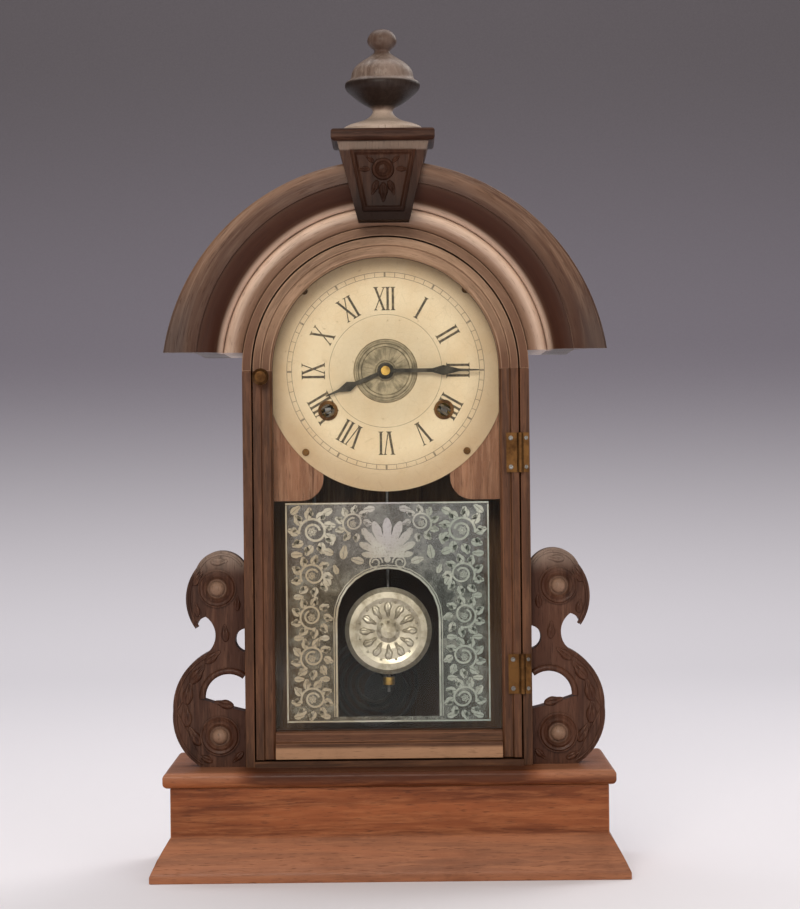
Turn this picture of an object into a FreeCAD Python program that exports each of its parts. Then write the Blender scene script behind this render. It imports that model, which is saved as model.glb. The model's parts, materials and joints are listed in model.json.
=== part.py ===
import FreeCAD, Part
import math
import os

# A shelf clock with an arched case, in millimetres. The front faces -Y and the foot stands on Z = 0.
V = FreeCAD.Vector
ALONG = V(0, 1, 0)

# Base
PLINTH_WIDTH = 284.0
PLINTH_DEPTH = 115.0
BASE_HEIGHT = 70.0
TOP_BOARD = 10.0
TOP_OVER = 4.5
BOARD = 14.0
FOOT_HEIGHT = 28.0
FOOT_OUT = 13.0
FOOT_EDGE = 4.0

# Case
CASE_HALF = 94.0
CASE_WALL = 6.0
CASE_DEPTH = 89.0
SIDE_HEIGHT = 260.0
BACKBOARD = 5.0
FLOOR = 4.0

# Arch bead, hood, keystone and finial
BEAD_THICK = 13.0
BEAD_PROUD = 3.0
BEAD_SHORT = 3.0
HOOD_ROOF = 9.0
HOOD_CROWN = 28.6
HOOD_COVE = 16.0
HOOD_SINK = 10.0
HOOD_REACH = 18.0
HOOD_LIFT = 12.0
KEY_HEIGHT = 51.0
KEY_TOP_HALF = 29.5
KEY_FOOT_HALF = 16.5
KEY_PROUD = 8.0
KEY_DEPTH = 50.0
KEY_DROP = 2.0
CAP_THICK = 8.0
CAP_OVER = 4.0
FINIAL_HEIGHT = 68.0
FINIAL_RADIUS = 24.0

# Brackets
BRACKET_WIDTH = 48.0
BRACKET_HEIGHT = 142.0
BRACKET_THICK = 16.0
BRACKET_SETBACK = 8.0

# Door and glass
DOOR_PLAY = 1.0
DOOR_LIFT = 1.2
DOOR_THICK = 14.0
STILE = 12.5
RAIL = 18.0
BAND = 5.0
BAND_STEP = 2.6
REBATE = 3.5
REBATE_DEPTH = 6.0
GLASS_THICK = 2.0
GLASS_PLAY = 0.4
BEAD_PLAY = 0.2

# Hinges and latch
HINGE_LEVELS = (60.0, 205.0)
HINGE_HEIGHT = 26.0
KNUCKLE = 2.0
PIN = 1.0
PIN_PLAY = 0.09
LEAF = 0.8
LEAF_REACH = 7.0
KNUCKLE_PLAY = 0.2
LATCH_IN = 5.5
LATCH_DROP = 4.0
SPINDLE = 1.8
SPINDLE_PLAY = 0.1
KNOB = 5.5

# Dial and hands
DIAL_RADIUS = 80.0
DIAL_THICK = 0.8
DIAL_SETBACK = 24.0
CENTRE_RADIUS = 19.5
CENTRE_RAISED = 0.5
WIND_SIDE = 38.5
WIND_DROP = 26.0
WIND_HOLE = 5.2
DIAL_SCREW_AT = 75.7
HOUR_LENGTH = 43.0
MINUTE_LENGTH = 62.0
HAND_THICK = 0.8
HOUR_SET = 247.5
MINUTE_SET = 90.0

# Movement
DIAL_TO_PLATE = 18.0
PLATE = 1.6
PLATE_GAP = 28.4
PLATE_HALF = 54.0
PLATE_TOP = 44.0
PLATE_FOOT = 64.0
PILLAR = 2.6
ARBOR = 1.4
PIVOT = 0.9
WINDER = 3.0
PLAY = 0.1
WHEEL = 1.0
GREAT_WHEEL = 1.6
SHROUD = 0.6
SHROUD_PLAY = 0.3
LEVEL = 2.6
SPRING_WIDTH = 13.0
SPRING_THICK = 0.5
SPRING_PITCH = 2.1
SPRING_TURNS = 8

# Escapement and pendulum
VERGE_DROP = 25.0
ESCAPE_DROP = 46.5
ESCAPE_TEETH = 40
ESCAPE_RADIUS = 14.0
ESCAPE_ROOT = 11.6
PALLET_AT = 16.0
CRUTCH = 33.0
ROD = 1.0
BOB_RADIUS = 29.0
BOB_DROP = 148.0
BOB_THICK = 8.0
ROD_BEHIND_DIAL = 9.0

# Hammer and gong
HAMMER_SIDE = -50.0
HAMMER_UP = 17.0
HEAD_DROP = 205.0
HEAD = 7.0
GONG_SIDE = -12.0
GONG_UP = 48.0
GONG_WIRE = 1.3
GONG_PITCH = 5.2
GONG_FIRST = 10.0
GONG_TURNS = 4.5
GONG_IN_FRONT = 15.0

# Stations along the depth, from the back forwards
y_back = (PLINTH_DEPTH + FOOT_OUT) / 2
y_plinth = y_back - PLINTH_DEPTH
y_board = y_back - BACKBOARD
y_case = y_board - CASE_DEPTH
y_door_back = y_case + DOOR_THICK
y_glass = y_door_back - REBATE_DEPTH
y_dial = y_case + DIAL_SETBACK
y_dial_back = y_dial + DIAL_THICK
y_plate = y_dial + DIAL_TO_PLATE
y_inside = y_plate + PLATE
y_rear = y_inside + PLATE_GAP
y_rear_out = y_rear + PLATE
y_rod = y_dial + ROD_BEHIND_DIAL
y_hood = y_case - HOOD_REACH

# Stations along the height
z_case = BASE_HEIGHT
z_arch = z_case + SIDE_HEIGHT
z_door = z_case + FLOOR + DOOR_LIFT
z_key_foot = z_arch + CASE_HALF + KEY_DROP
z_key_top = z_key_foot + KEY_HEIGHT
z_cap_top = z_key_top + CAP_THICK

# Radii of the arch layers
case_inner = CASE_HALF - CASE_WALL
bead_outer = CASE_HALF + BEAD_THICK
cove_outer = bead_outer + HOOD_COVE
roof_outer = bead_outer + HOOD_ROOF + HOOD_SINK
crown_outer = bead_outer + HOOD_CROWN + HOOD_SINK
door_outer = case_inner - DOOR_PLAY
sight = door_outer - STILE

solids = {}


def box(x0, x1, y0, y1, z0, z1):
    return Part.makeBox(x1 - x0, y1 - y0, z1 - z0, V(x0, y0, z0))


def rod(at, y0, y1, radius):
    """A cylinder along the depth, with `at` measured from the centre of the dial."""
    return Part.makeCylinder(radius, y1 - y0, V(at[0], y0, z_arch + at[1]), ALONG)


def join(first, *others):
    return first.fuse(list(others)).removeSplitter()


def prism(points, y0, y1):
    """An outline of (x, z) corners, extended along the depth."""
    corners = [V(x, y0, z) for x, z in points]
    wire = Part.makePolygon(corners + corners[:1])
    return Part.Face(wire).extrude(V(0, y1 - y0, 0))


def polar(at, radius, angle):
    return (at[0] + radius * math.cos(angle), at[1] + radius * math.sin(angle))


def bearing(start, end):
    return math.atan2(end[1] - start[1], end[0] - start[0])


def meet(first, second, first_reach, second_reach, side):
    """The point at given distances from two others, on the side asked for."""
    gap = math.hypot(second[0] - first[0], second[1] - first[1])
    along = (first_reach ** 2 - second_reach ** 2 + gap ** 2) / (2 * gap)
    across = side * math.sqrt(first_reach ** 2 - along ** 2)
    angle = bearing(first, second)
    x = first[0] + along * math.cos(angle) - across * math.sin(angle)
    z = first[1] + along * math.sin(angle) + across * math.cos(angle)
    return (x, z)


def arched(half, foot, y0, y1):
    """A board with straight sides and a half-round top, round the centre of the arch."""
    left = V(-half, y0, foot)
    right = V(half, y0, foot)
    spring_left = V(-half, y0, z_arch)
    spring_right = V(half, y0, z_arch)
    crown = V(0, y0, z_arch + half)
    edges = [
        Part.LineSegment(left, right).toShape(),
        Part.LineSegment(right, spring_right).toShape(),
        Part.Arc(spring_right, crown, spring_left).toShape(),
        Part.LineSegment(spring_left, left).toShape(),
    ]
    return Part.Face(Part.Wire(edges)).extrude(V(0, y1 - y0, 0))


def upper_half(shape, level):
    reach = 400.0
    return shape.common(box(-reach, reach, -reach, reach, level, level + reach))


def round_section(points, level=z_arch):
    """A closed section of (radius, y) corners, with a point on the way where the stretch before it is round."""
    edges = []
    start = points[0]
    for step in points[1:] + points[:1]:
        a = V(0, start[1], level + start[0])
        b = V(0, step[1], level + step[0])
        if len(step) == 4:
            middle = V(0, step[3], level + step[2])
            edges.append(Part.Arc(a, middle, b).toShape())
        else:
            edges.append(Part.LineSegment(a, b).toShape())
        start = step
    return Part.Face(Part.Wire(edges))


def swept_arch(section, angle, level=z_arch):
    return section.revolve(V(0, 0, level), ALONG, angle)


def side_by_side(shapes):
    return Part.makeCompound(shapes)


def mirrored(shape):
    return shape.mirror(V(0, 0, 0), V(1, 0, 0))


# Base boards, top board and mitred foot mouldings
half_plinth = PLINTH_WIDTH / 2
under_top = BASE_HEIGHT - TOP_BOARD
front_board = box(-half_plinth, half_plinth, y_plinth, y_plinth + BOARD, 0, under_top)
right_board = box(half_plinth - BOARD, half_plinth, y_plinth + BOARD, y_back, 0, under_top)
rear_board = box(BOARD - half_plinth, half_plinth - BOARD, y_back - BOARD, y_back, 0, under_top)
solids["base_boards"] = side_by_side([front_board, right_board, mirrored(right_board), rear_board])

top_half = half_plinth + TOP_OVER
y_top = y_plinth - TOP_OVER
top_board = box(-top_half, top_half, y_top, y_back, under_top, BASE_HEIGHT)
nosed = []
for edge in top_board.Edges:
    middle = edge.CenterOfMass
    if abs(middle.y - y_back) > 0.1 and abs(edge.BoundBox.ZLength) < 0.1:
        nosed.append(edge)
solids["base_top_board"] = top_board.makeFillet(TOP_BOARD * 0.35, nosed)


def foot_section(out, level):
    """The swelling foot profile, as (distance from the plinth face, height) points."""
    return [
        (0.0, 0.0),
        (out, 0.0),
        (out, level * 0.16),
        (out * 0.94, level * 0.22),
        (0.0, level, out * 0.55, level * 0.58),
    ]


def moulded(points, place, path):
    edges = []
    start = points[0]
    for step in points[1:] + points[:1]:
        a = place(start[0], start[1])
        b = place(step[0], step[1])
        if len(step) == 4:
            edges.append(Part.Arc(a, place(step[2], step[3]), b).toShape())
        else:
            edges.append(Part.LineSegment(a, b).toShape())
        start = step
    return Part.Face(Part.Wire(edges)).extrude(path)


foot = foot_section(FOOT_OUT, FOOT_HEIGHT)
foot_half = half_plinth + FOOT_OUT
y_foot = y_plinth - FOOT_OUT
long_run = moulded(foot, lambda out, z: V(-foot_half, y_plinth - out, z), V(2 * foot_half, 0, 0))
side_run = moulded(foot, lambda out, z: V(half_plinth + out, y_foot, z), V(0, y_back - y_foot, 0))


def mitre_wedge(y0):
    """The space in front of the mitre at the right front corner."""
    corner = V(half_plinth, y_plinth, 0)
    tip = V(half_plinth + 2 * FOOT_OUT, y_plinth - 2 * FOOT_OUT, 0)
    inner = V(half_plinth, y0, 0)
    wire = Part.makePolygon([corner, tip, V(tip.x, y0, 0), inner, corner])
    return Part.Face(wire).extrude(V(0, 0, FOOT_HEIGHT))


beyond = mitre_wedge(y_back)
front_foot = long_run.cut(beyond).cut(mirrored(beyond))
right_foot = side_run.common(beyond)
solids["foot_mouldings"] = side_by_side([front_foot, right_foot, mirrored(right_foot)])

# Case box
case_side = box(case_inner, CASE_HALF, y_case, y_board, z_case, z_arch)
solids["case_side_right"] = case_side
solids["case_side_left"] = mirrored(case_side)
centre = (0.0, 0.0)
shell = rod(centre, y_case, y_board, CASE_HALF).cut(rod(centre, y_case, y_board, case_inner))
solids["case_arch_shell"] = upper_half(shell, z_arch)
solids["case_floor"] = box(-case_inner, case_inner, y_case, y_board, z_case, z_case + FLOOR)
solids["backboard"] = arched(CASE_HALF, z_case, y_board, y_back)

# Light arch bead with a round nose, and the two hood mouldings that rest on it
z_hood = z_arch + HOOD_LIFT
nose = BEAD_THICK / 2
y_nose = y_case - BEAD_PROUD
y_bead_end = y_board - BEAD_SHORT
bead_section = round_section([
    (CASE_HALF, y_bead_end),
    (CASE_HALF, y_nose + nose),
    (bead_outer, y_nose + nose, CASE_HALF + nose, y_nose),
    (bead_outer, y_bead_end),
])
bead = swept_arch(bead_section, 90).fuse(swept_arch(bead_section, -90)).removeSplitter()
solids["arch_bead"] = upper_half(bead, z_hood)

# The hood's crown is struck from a lower centre than its cove, so it is broader at its ends
y_cove = y_nose + 2.0
z_crown = z_arch - HOOD_SINK
crown_section = round_section([
    (CASE_HALF, y_board),
    (CASE_HALF, y_hood),
    (crown_outer - 1.5, y_hood),
    (crown_outer, y_hood + 1.5),
    (crown_outer, y_hood + 7.0),
    (roof_outer, y_cove + 8.0, roof_outer + HOOD_CROWN * 0.22, y_hood + 11.0),
    (roof_outer, y_board),
], z_crown)
cove_section = round_section([
    (CASE_HALF / 2, y_hood),
    (cove_outer, y_hood),
    (cove_outer, y_hood + 2.0),
    (bead_outer, y_cove, bead_outer + HOOD_COVE * 0.27, y_cove - HOOD_REACH * 0.52),
    (bead_outer, y_board),
    (CASE_HALF / 2, y_board),
])
hood_right = swept_arch(crown_section, 90, z_crown).cut(swept_arch(cove_section, 90))
hood_right = upper_half(hood_right, z_hood)
solids["hood_right"] = hood_right
solids["hood_left"] = mirrored(hood_right)

# Keystone over the joint of the hood, its cap and the turned finial
y_key = y_hood - KEY_PROUD
y_key_back = y_key + KEY_DEPTH
wedge = prism(
    [(-KEY_FOOT_HALF, z_key_foot), (KEY_FOOT_HALF, z_key_foot), (KEY_TOP_HALF, z_key_top), (-KEY_TOP_HALF, z_key_top)],
    y_key,
    y_key_back,
)
bead_room = rod(centre, y_nose, y_back, bead_outer)
wedge = wedge.cut(bead_room).cut(hood_right).cut(solids["hood_left"])
solids["keystone"] = max(wedge.Solids, key=lambda piece: piece.Volume)

cap_half = KEY_TOP_HALF + CAP_OVER
y_cap = y_key - CAP_OVER
y_cap_back = y_key_back + CAP_OVER
cap = box(-cap_half, cap_half, y_cap, y_cap_back, z_key_top, z_cap_top)
flat_edges = [edge for edge in cap.Edges if abs(edge.BoundBox.ZLength) < 0.1]
solids["keystone_cap"] = cap.makeFillet(CAP_THICK * 0.3, flat_edges)

y_finial = (y_cap + y_cap_back) / 2
finial_steps = [
    (1.12, 0.00), (1.12, 0.03), (1.02, 0.055), (0.66, 0.10), (0.34, 0.16), (0.27, 0.20), (0.50, 0.27),
    (0.84, 0.36), (1.02, 0.44), (1.00, 0.48), (0.88, 0.51), (0.84, 0.56), (0.62, 0.67), (0.28, 0.75),
    (0.21, 0.78), (0.31, 0.82), (0.40, 0.88), (0.34, 0.94), (0.18, 0.985),
]


def turned(steps, radius, height, foot):
    """A turned solid on a vertical axis from (share of radius, share of height) steps."""
    points = [V(share * radius, 0, foot + rise * height) for share, rise in steps]
    top = V(0, 0, foot + height)
    curve = Part.BSplineCurve()
    curve.interpolate(points[2:])
    edges = [
        Part.LineSegment(V(0, 0, foot), points[0]).toShape(),
        Part.LineSegment(points[0], points[1]).toShape(),
        Part.LineSegment(points[1], points[2]).toShape(),
        curve.toShape(),
        Part.LineSegment(points[-1], top).toShape(),
        Part.LineSegment(top, V(0, 0, foot)).toShape(),
    ]
    return Part.Face(Part.Wire(edges)).revolve(V(0, 0, 0), V(0, 0, 1), 360)


finial = turned(finial_steps, FINIAL_RADIUS, FINIAL_HEIGHT, z_cap_top)
finial.translate(V(0, y_finial, 0))
solids["finial"] = finial

# Pierced scroll brackets at both sides of the case
y_bracket = y_case + BRACKET_SETBACK
across = BRACKET_WIDTH / 50.0
up = BRACKET_HEIGHT / 145.0


def at_bracket(u, v):
    return V(CASE_HALF + u * across, y_bracket, z_case + v * up)


def bracket_outline():
    """Straight and round stretches: each entry is the next corner, with a point on the way if round."""
    stretches = [
        ((31, 0), None),
        ((50, 38), (45.5, 15)),
        ((26, 77), (44, 61)),
        ((27, 101), (20.5, 89)),
        ((34, 93), (31.5, 98.5)),
        ((33, 134), (40.5, 114)),
        ((0, 136), (17, 145)),
        ((0, 93), None),
        ((0, 77), (7, 85)),
        ((0, 62), None),
        ((31, 46), (19, 64.5)),
        ((0, 37), (17, 41.5)),
        ((0, 0), None),
    ]
    edges = []
    start = (0, 0)
    for corner, way in stretches:
        if way:
            edges.append(Part.Arc(at_bracket(*start), at_bracket(*way), at_bracket(*corner)).toShape())
        else:
            edges.append(Part.LineSegment(at_bracket(*start), at_bracket(*corner)).toShape())
        start = corner
    return Part.Face(Part.Wire(edges))


bracket = bracket_outline().extrude(V(0, BRACKET_THICK, 0))
bosses = []
for u, v, radius in ((18, 21, 13.5), (19, 120, 13.0)):
    middle = at_bracket(u, v)
    bosses.append(Part.makeCylinder(radius * across, 2.0, V(middle.x, y_bracket - 2.0, middle.z), ALONG))
    bosses.append(Part.makeSphere(radius * 0.42 * across, V(middle.x, y_bracket - 2.0, middle.z)))
solids["bracket_right"] = join(bracket, *bosses)
solids["bracket_left"] = mirrored(solids["bracket_right"])

# Door frame: two stiles, an arched rail and a bottom rail, with a step and a rebate for the glass
y_step = y_case + BAND_STEP
shelf = sight + REBATE
bevel = 1.5
frame_section = [
    (door_outer, y_door_back),
    (door_outer, y_case),
    (door_outer - BAND, y_case),
    (door_outer - BAND - 0.8, y_step),
    (sight + bevel, y_step),
    (sight, y_step + bevel),
    (sight, y_glass),
    (shelf, y_glass),
    (shelf, y_door_back),
]


def flat_wire(corners):
    return Part.makePolygon(corners + corners[:1])


stile_face = Part.Face(flat_wire([V(u, y, z_door) for u, y in frame_section]))
stile = stile_face.extrude(V(0, 0, z_arch - z_door))
solids["door_stile_right"] = stile
latch_at = (-door_outer + LATCH_IN, -LATCH_DROP)
spindle_hole = rod(latch_at, y_case, y_door_back, SPINDLE + SPINDLE_PLAY)
solids["door_stile_left"] = mirrored(stile).cut(spindle_hole)
solids["door_arch_rail"] = swept_arch(round_section(frame_section), 90)
solids["door_arch_rail"] = join(solids["door_arch_rail"], swept_arch(round_section(frame_section), -90))

z_rail = z_door + RAIL
rail_section = [
    (z_door, y_door_back),
    (z_door, y_case),
    (z_door + RAIL - STILE + BAND, y_case),
    (z_door + RAIL - STILE + BAND + 0.8, y_step),
    (z_rail - bevel, y_step),
    (z_rail, y_step + bevel),
    (z_rail, y_glass),
    (z_rail - REBATE, y_glass),
    (z_rail - REBATE, y_door_back),
]
rail_face = Part.Face(flat_wire([V(-sight, y, z) for z, y in rail_section]))
rail = rail_face.extrude(V(2 * sight, 0, 0))
tenon = box(-shelf, shelf, y_glass, y_door_back, z_door, z_rail - REBATE)
solids["door_bottom_rail"] = join(rail, tenon)

glass_half = shelf - GLASS_PLAY
glass_foot = z_rail - REBATE + GLASS_PLAY
y_glass_back = y_glass + GLASS_THICK
solids["door_glass"] = arched(glass_half, glass_foot, y_glass, y_glass_back)

strip_outer = shelf - BEAD_PLAY
y_strip = y_door_back - 0.4
strip_foot = glass_foot + REBATE
side_strip = box(sight, strip_outer, y_glass_back, y_strip, strip_foot, z_arch)
foot_strip = box(-strip_outer, strip_outer, y_glass_back, y_strip, glass_foot, strip_foot)
arch_strip = rod(centre, y_glass_back, y_strip, strip_outer).cut(rod(centre, y_glass_back, y_strip, sight))
arch_strip = upper_half(arch_strip, z_arch)
solids["glass_beads"] = side_by_side([side_strip, mirrored(side_strip), foot_strip, arch_strip])

# Two surface hinges on the right: the case leaves hold the pins, the door leaves turn on them
hinge_x = (door_outer + case_inner) / 2 + 0.2
hinge_y = y_case - KNUCKLE
third = HINGE_HEIGHT / 3
case_leaves = []
door_leaves = []
for rise in HINGE_LEVELS:
    low = z_case + rise - HINGE_HEIGHT / 2
    axis = V(hinge_x, hinge_y, low)

    def knuckle(start, height, bore):
        place = V(hinge_x, hinge_y, start)
        body = Part.makeCylinder(KNUCKLE, height, place)
        return body, Part.makeCylinder(bore, height, place)

    clear = KNUCKLE + 0.1
    door_low = low + third + KNUCKLE_PLAY
    door_high = low + 2 * third - KNUCKLE_PLAY
    plate = box(hinge_x - clear - LEAF_REACH, hinge_x - clear, y_case - LEAF, y_case, low, low + HINGE_HEIGHT)
    tab = box(hinge_x - clear, hinge_x, y_case - LEAF, y_case, door_low, door_high)
    body, bore = knuckle(door_low, door_high - door_low, PIN + PIN_PLAY)
    door_leaves.append(join(plate, tab, body).cut(bore))
    plate = box(hinge_x + clear, CASE_HALF - 0.5, y_case - LEAF, y_case, low, low + HINGE_HEIGHT)
    parts = [plate]
    bores = []
    for start in (low, low + 2 * third):
        body, bore = knuckle(start, third, PIN)
        parts.append(body)
        parts.append(box(hinge_x, hinge_x + clear, y_case - LEAF, y_case, start, start + third))
        bores.append(bore)
    case_leaves.append(join(*parts).cut(bores[0]).cut(bores[1]))
    pin = Part.makeCylinder(PIN, HINGE_HEIGHT, axis)
    case_leaves.append(pin)
solids["case_hinge_leaves"] = side_by_side(case_leaves)
solids["door_hinge_leaves"] = side_by_side(door_leaves)

# Turn latch: knob, spindle and tongue in one piece, and the catch on the case wall
y_tongue = y_door_back + 2.0
knob_steps = [(0, -11.0), (3.6, -10.4), (KNOB, -8.2), (KNOB, -6.6), (2.4, -4.2), (2.4, -1.2), (4.2, -0.9), (4.2, -0.1)]


def turned_along(steps, at, y0):
    """A turned solid along the depth from (radius, y) steps, closed on its axis."""
    corners = [V(at[0] + r, y0 + y, z_arch + at[1]) for r, y in steps]
    corners.append(V(at[0], y0 + steps[-1][1], z_arch + at[1]))
    face = Part.Face(flat_wire(corners))
    return face.revolve(V(at[0], 0, z_arch + at[1]), ALONG, 360)


knob = turned_along(knob_steps, latch_at, y_case)
spindle = rod(latch_at, y_case - 0.5, y_tongue + 1.4, SPINDLE)
latch_x = latch_at[0]
latch_z = z_arch + latch_at[1]
tongue = box(latch_x - 1.5, latch_x + 1.5, y_tongue, y_tongue + 1.4, latch_z - 3.0, latch_z + LATCH_IN)
solids["latch_knob"] = join(knob, spindle, tongue)
catch_edge = latch_x - SPINDLE - 0.5
solids["latch_catch"] = box(-case_inner, catch_edge, y_tongue - 1.5, y_tongue - 0.3, latch_z - 5.0, latch_z + 5.0)

# Dial plate on four blocks, with screws and winding eyelets
wind_right = (WIND_SIDE, -WIND_DROP)
wind_left = (-WIND_SIDE, -WIND_DROP)
corner_reach = DIAL_SCREW_AT / math.sqrt(2)
screw_spots = [(sx * corner_reach, sz * corner_reach) for sx in (-1, 1) for sz in (-1, 1)]
HOUR_PIPE = 3.0
dial = rod(centre, y_dial, y_dial_back, DIAL_RADIUS)
dial = dial.fuse(rod(centre, y_dial - CENTRE_RAISED, y_dial, CENTRE_RADIUS)).removeSplitter()
dial = dial.cut(rod(centre, y_dial - 2, y_dial_back, HOUR_PIPE + 1.0))
for spot in (wind_left, wind_right):
    dial = dial.cut(rod(spot, y_dial, y_dial_back, WIND_HOLE))
SCREW = 1.2
for spot in screw_spots:
    dial = dial.cut(rod(spot, y_dial, y_dial_back, SCREW + 0.3))
solids["dial"] = dial

eyelets = []
for spot in (wind_left, wind_right):
    flange = rod(spot, y_dial - 0.8, y_dial, WIND_HOLE + 1.4)
    barrel = rod(spot, y_dial, y_dial_back, WIND_HOLE)
    eyelets.append(join(flange, barrel).cut(rod(spot, y_dial - 1, y_dial_back, WIND_HOLE - 0.8)))
solids["winding_eyelets"] = side_by_side(eyelets)

BLOCK_DEEP = 12.0
BLOCK_HALF = 7.0
DIAL_SCREW_LENGTH = 8.0
DIAL_SCREW_HEAD = 1.0
blocks = []
dial_screws = []
inside_arch = arched(case_inner, z_case, y_dial_back, y_dial_back + BLOCK_DEEP)
for spot in screw_spots:
    side = math.copysign(1.0, spot[0])
    near = spot[0] - side * BLOCK_HALF
    far = side * CASE_HALF
    low = z_arch + spot[1] - BLOCK_HALF
    bar = box(min(near, far), max(near, far), y_dial_back, y_dial_back + BLOCK_DEEP, low, low + 2 * BLOCK_HALF)
    block = bar.common(inside_arch).cut(rod(spot, y_dial_back, y_dial_back + DIAL_SCREW_LENGTH, SCREW))
    blocks.append(block)
    head = rod(spot, y_dial - DIAL_SCREW_HEAD, y_dial, 2 * SCREW)
    dial_screws.append(join(head, rod(spot, y_dial, y_dial_back + DIAL_SCREW_LENGTH, SCREW)))
solids["dial_blocks"] = side_by_side(blocks)
solids["dial_screws"] = side_by_side(dial_screws)

# Wheels, pinions and arbors
ADDENDUM = 0.95
DEDENDUM = 1.05


def toothed(teeth, module, at, y0, thick, toward, bore=0.0):
    """A wheel with a gap between teeth pointing at `toward`, and crossings between hub and rim."""
    pitch = 2 * math.pi / teeth
    radius = module * teeth / 2
    root = radius - DEDENDUM * module
    stations = ((root, 0.21), (radius, 0.20), (radius + ADDENDUM * module, 0.08))
    centre_at = (at[0], z_arch + at[1])
    points = []
    for tooth in range(teeth):
        middle = toward + (tooth + 0.5) * pitch
        for reach, share in stations:
            points.append(polar(centre_at, reach, middle - share * pitch))
        for reach, share in reversed(stations):
            points.append(polar(centre_at, reach, middle + share * pitch))
    wheel = prism(points, y0, y0 + thick)
    hub = max(3.2, bore + 3.0)
    rim = root - 2.2
    if rim - hub > 4.0:
        for opening in range(4):
            wheel = wheel.cut(crossing(centre_at, hub, rim, opening, y0, thick))
    if bore:
        wheel = wheel.cut(rod(at, y0, y0 + thick, bore))
    return wheel


def crossing(at, hub, rim, opening, y0, thick):
    """One of four openings that leave a wheel with spokes."""
    start = opening * math.pi / 2
    arm = 1.1
    edges = []

    def place(reach, angle):
        x, z = polar(at, reach, angle)
        return V(x, y0, z)

    inner = math.asin(arm / hub)
    outer = math.asin(arm / rim)
    a = place(hub, start + inner)
    b = place(rim, start + outer)
    c = place(rim, start + math.pi / 2 - outer)
    d = place(hub, start + math.pi / 2 - inner)
    edges.append(Part.LineSegment(a, b).toShape())
    edges.append(Part.Arc(b, place(rim, start + math.pi / 4), c).toShape())
    edges.append(Part.LineSegment(c, d).toShape())
    edges.append(Part.Arc(d, place(hub, start + math.pi / 4), a).toShape())
    return Part.Face(Part.Wire(edges)).extrude(V(0, thick, 0))


def lantern(leaves, module, at, y0, thick, toward):
    """A lantern pinion for a wheel at y0: round leaves between two discs, one leaf pointing at `toward`."""
    radius = module * leaves / 2
    leaf = 0.19 * math.pi * module
    low = y0 - SHROUD_PLAY
    high = y0 + thick + SHROUD_PLAY
    parts = [rod(at, low - SHROUD, low, radius + leaf + 0.2), rod(at, high, high + SHROUD, radius + leaf + 0.2)]
    for number in range(leaves):
        spot = polar(at, radius, toward + 2 * math.pi * number / leaves)
        parts.append(rod(spot, low, high, leaf))
    return parts


def arbor(at, front, back):
    """A plain arbor between the plates with a pivot in each."""
    return [
        rod(at, y_inside + 0.2, y_rear - 0.2, ARBOR),
        rod(at, front, y_inside + 0.2, PIVOT),
        rod(at, y_rear - 0.2, back, PIVOT),
    ]


level_front = y_inside + SHROUD + 2 * SHROUD_PLAY
level_middle = level_front + LEVEL
level_back = level_middle + LEVEL
y_great = y_rear - GREAT_WHEEL - 1.8
pivot_front = y_plate + 0.2
pivot_back = y_rear_out - 0.2

great_module = 7.0 / 6.0
second_module = 1.15
train_module = 0.5
second_reach = great_module * (48 + 12) / 2
centre_reach = second_module * (36 + 12) / 2
third_reach = train_module * (96 + 8) / 2
escape_reach = train_module * (80 + 8) / 2

escape_at = (0.0, -ESCAPE_DROP)
verge_at = (0.0, -VERGE_DROP)
second_at = meet(centre, wind_right, centre_reach, second_reach, 1)
third_at = meet(centre, escape_at, third_reach, escape_reach, -1)

strike_module = 1.0
strike_reach = strike_module * (48 + 12) / 2
pin_module = 0.6
pin_reach = pin_module * (60 + 8) / 2
warn_module = 0.55
warn_reach = warn_module * (56 + 8) / 2
fly_module = 0.5
fly_reach = fly_module * (48 + 8) / 2
strike_second_at = polar(wind_left, strike_reach, math.radians(75))
pin_at = polar(strike_second_at, pin_reach, math.radians(80))
warn_at = polar(pin_at, warn_reach, math.radians(20))
fly_at = polar(warn_at, fly_reach, math.radians(10))
hammer_at = (HAMMER_SIDE, HAMMER_UP)

RATCHET_TEETH = 18
RATCHET = 9.0
y_ratchet = y_great - 1.6


def saw(teeth, tip, root, at, y0, thick, lean):
    """A wheel with pointed teeth that lean one way."""
    pitch = 2 * math.pi / teeth
    spot = (at[0], z_arch + at[1])
    points = []
    for tooth in range(teeth):
        angle = tooth * pitch
        points.append(polar(spot, root, angle))
        points.append(polar(spot, tip, angle + lean * pitch))
        points.append(polar(spot, tip, angle + (lean + 0.06) * pitch))
    return prism(points, y0, y0 + thick)


def great(teeth, module, at, mate):
    """A great wheel that turns on its winding arbor, with the click that holds the ratchet."""
    wheel = toothed(teeth, module, at, y_great, GREAT_WHEEL, bearing(at, mate), WINDER + PLAY)
    stud = rod((at[0], at[1] + RATCHET + 3.6), y_ratchet, y_great + GREAT_WHEEL, 1.6)
    x = at[0]
    z = z_arch + at[1] + RATCHET + 0.5
    click = prism([(x - 5.5, z + 0.4), (x - 1.0, z + 1.6), (x, z + 4.2), (x - 4.0, z + 2.6)], y_ratchet, y_ratchet + 1.2)
    plate = box(x - 3.2, x + 3.2, y_great, y_great + GREAT_WHEEL, z - 2.2, z + 7.5)
    return join(wheel, plate, stud, click)


def winder(at):
    """A winding arbor with its ratchet and the square for the key."""
    side = WINDER * 1.3
    square = box(at[0] - side / 2, at[0] + side / 2, y_dial_back, y_plate, z_arch + at[1] - side / 2, z_arch + at[1] + side / 2)
    shaft = rod(at, y_plate - 1.0, y_rear - 0.2, WINDER)
    tail = rod(at, y_rear - 0.2, pivot_back, WINDER - 1.0)
    ratchet = saw(RATCHET_TEETH, RATCHET, RATCHET - 1.6, at, y_ratchet, 1.2, 0.75)
    return join(shaft, square, tail, ratchet)


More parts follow.
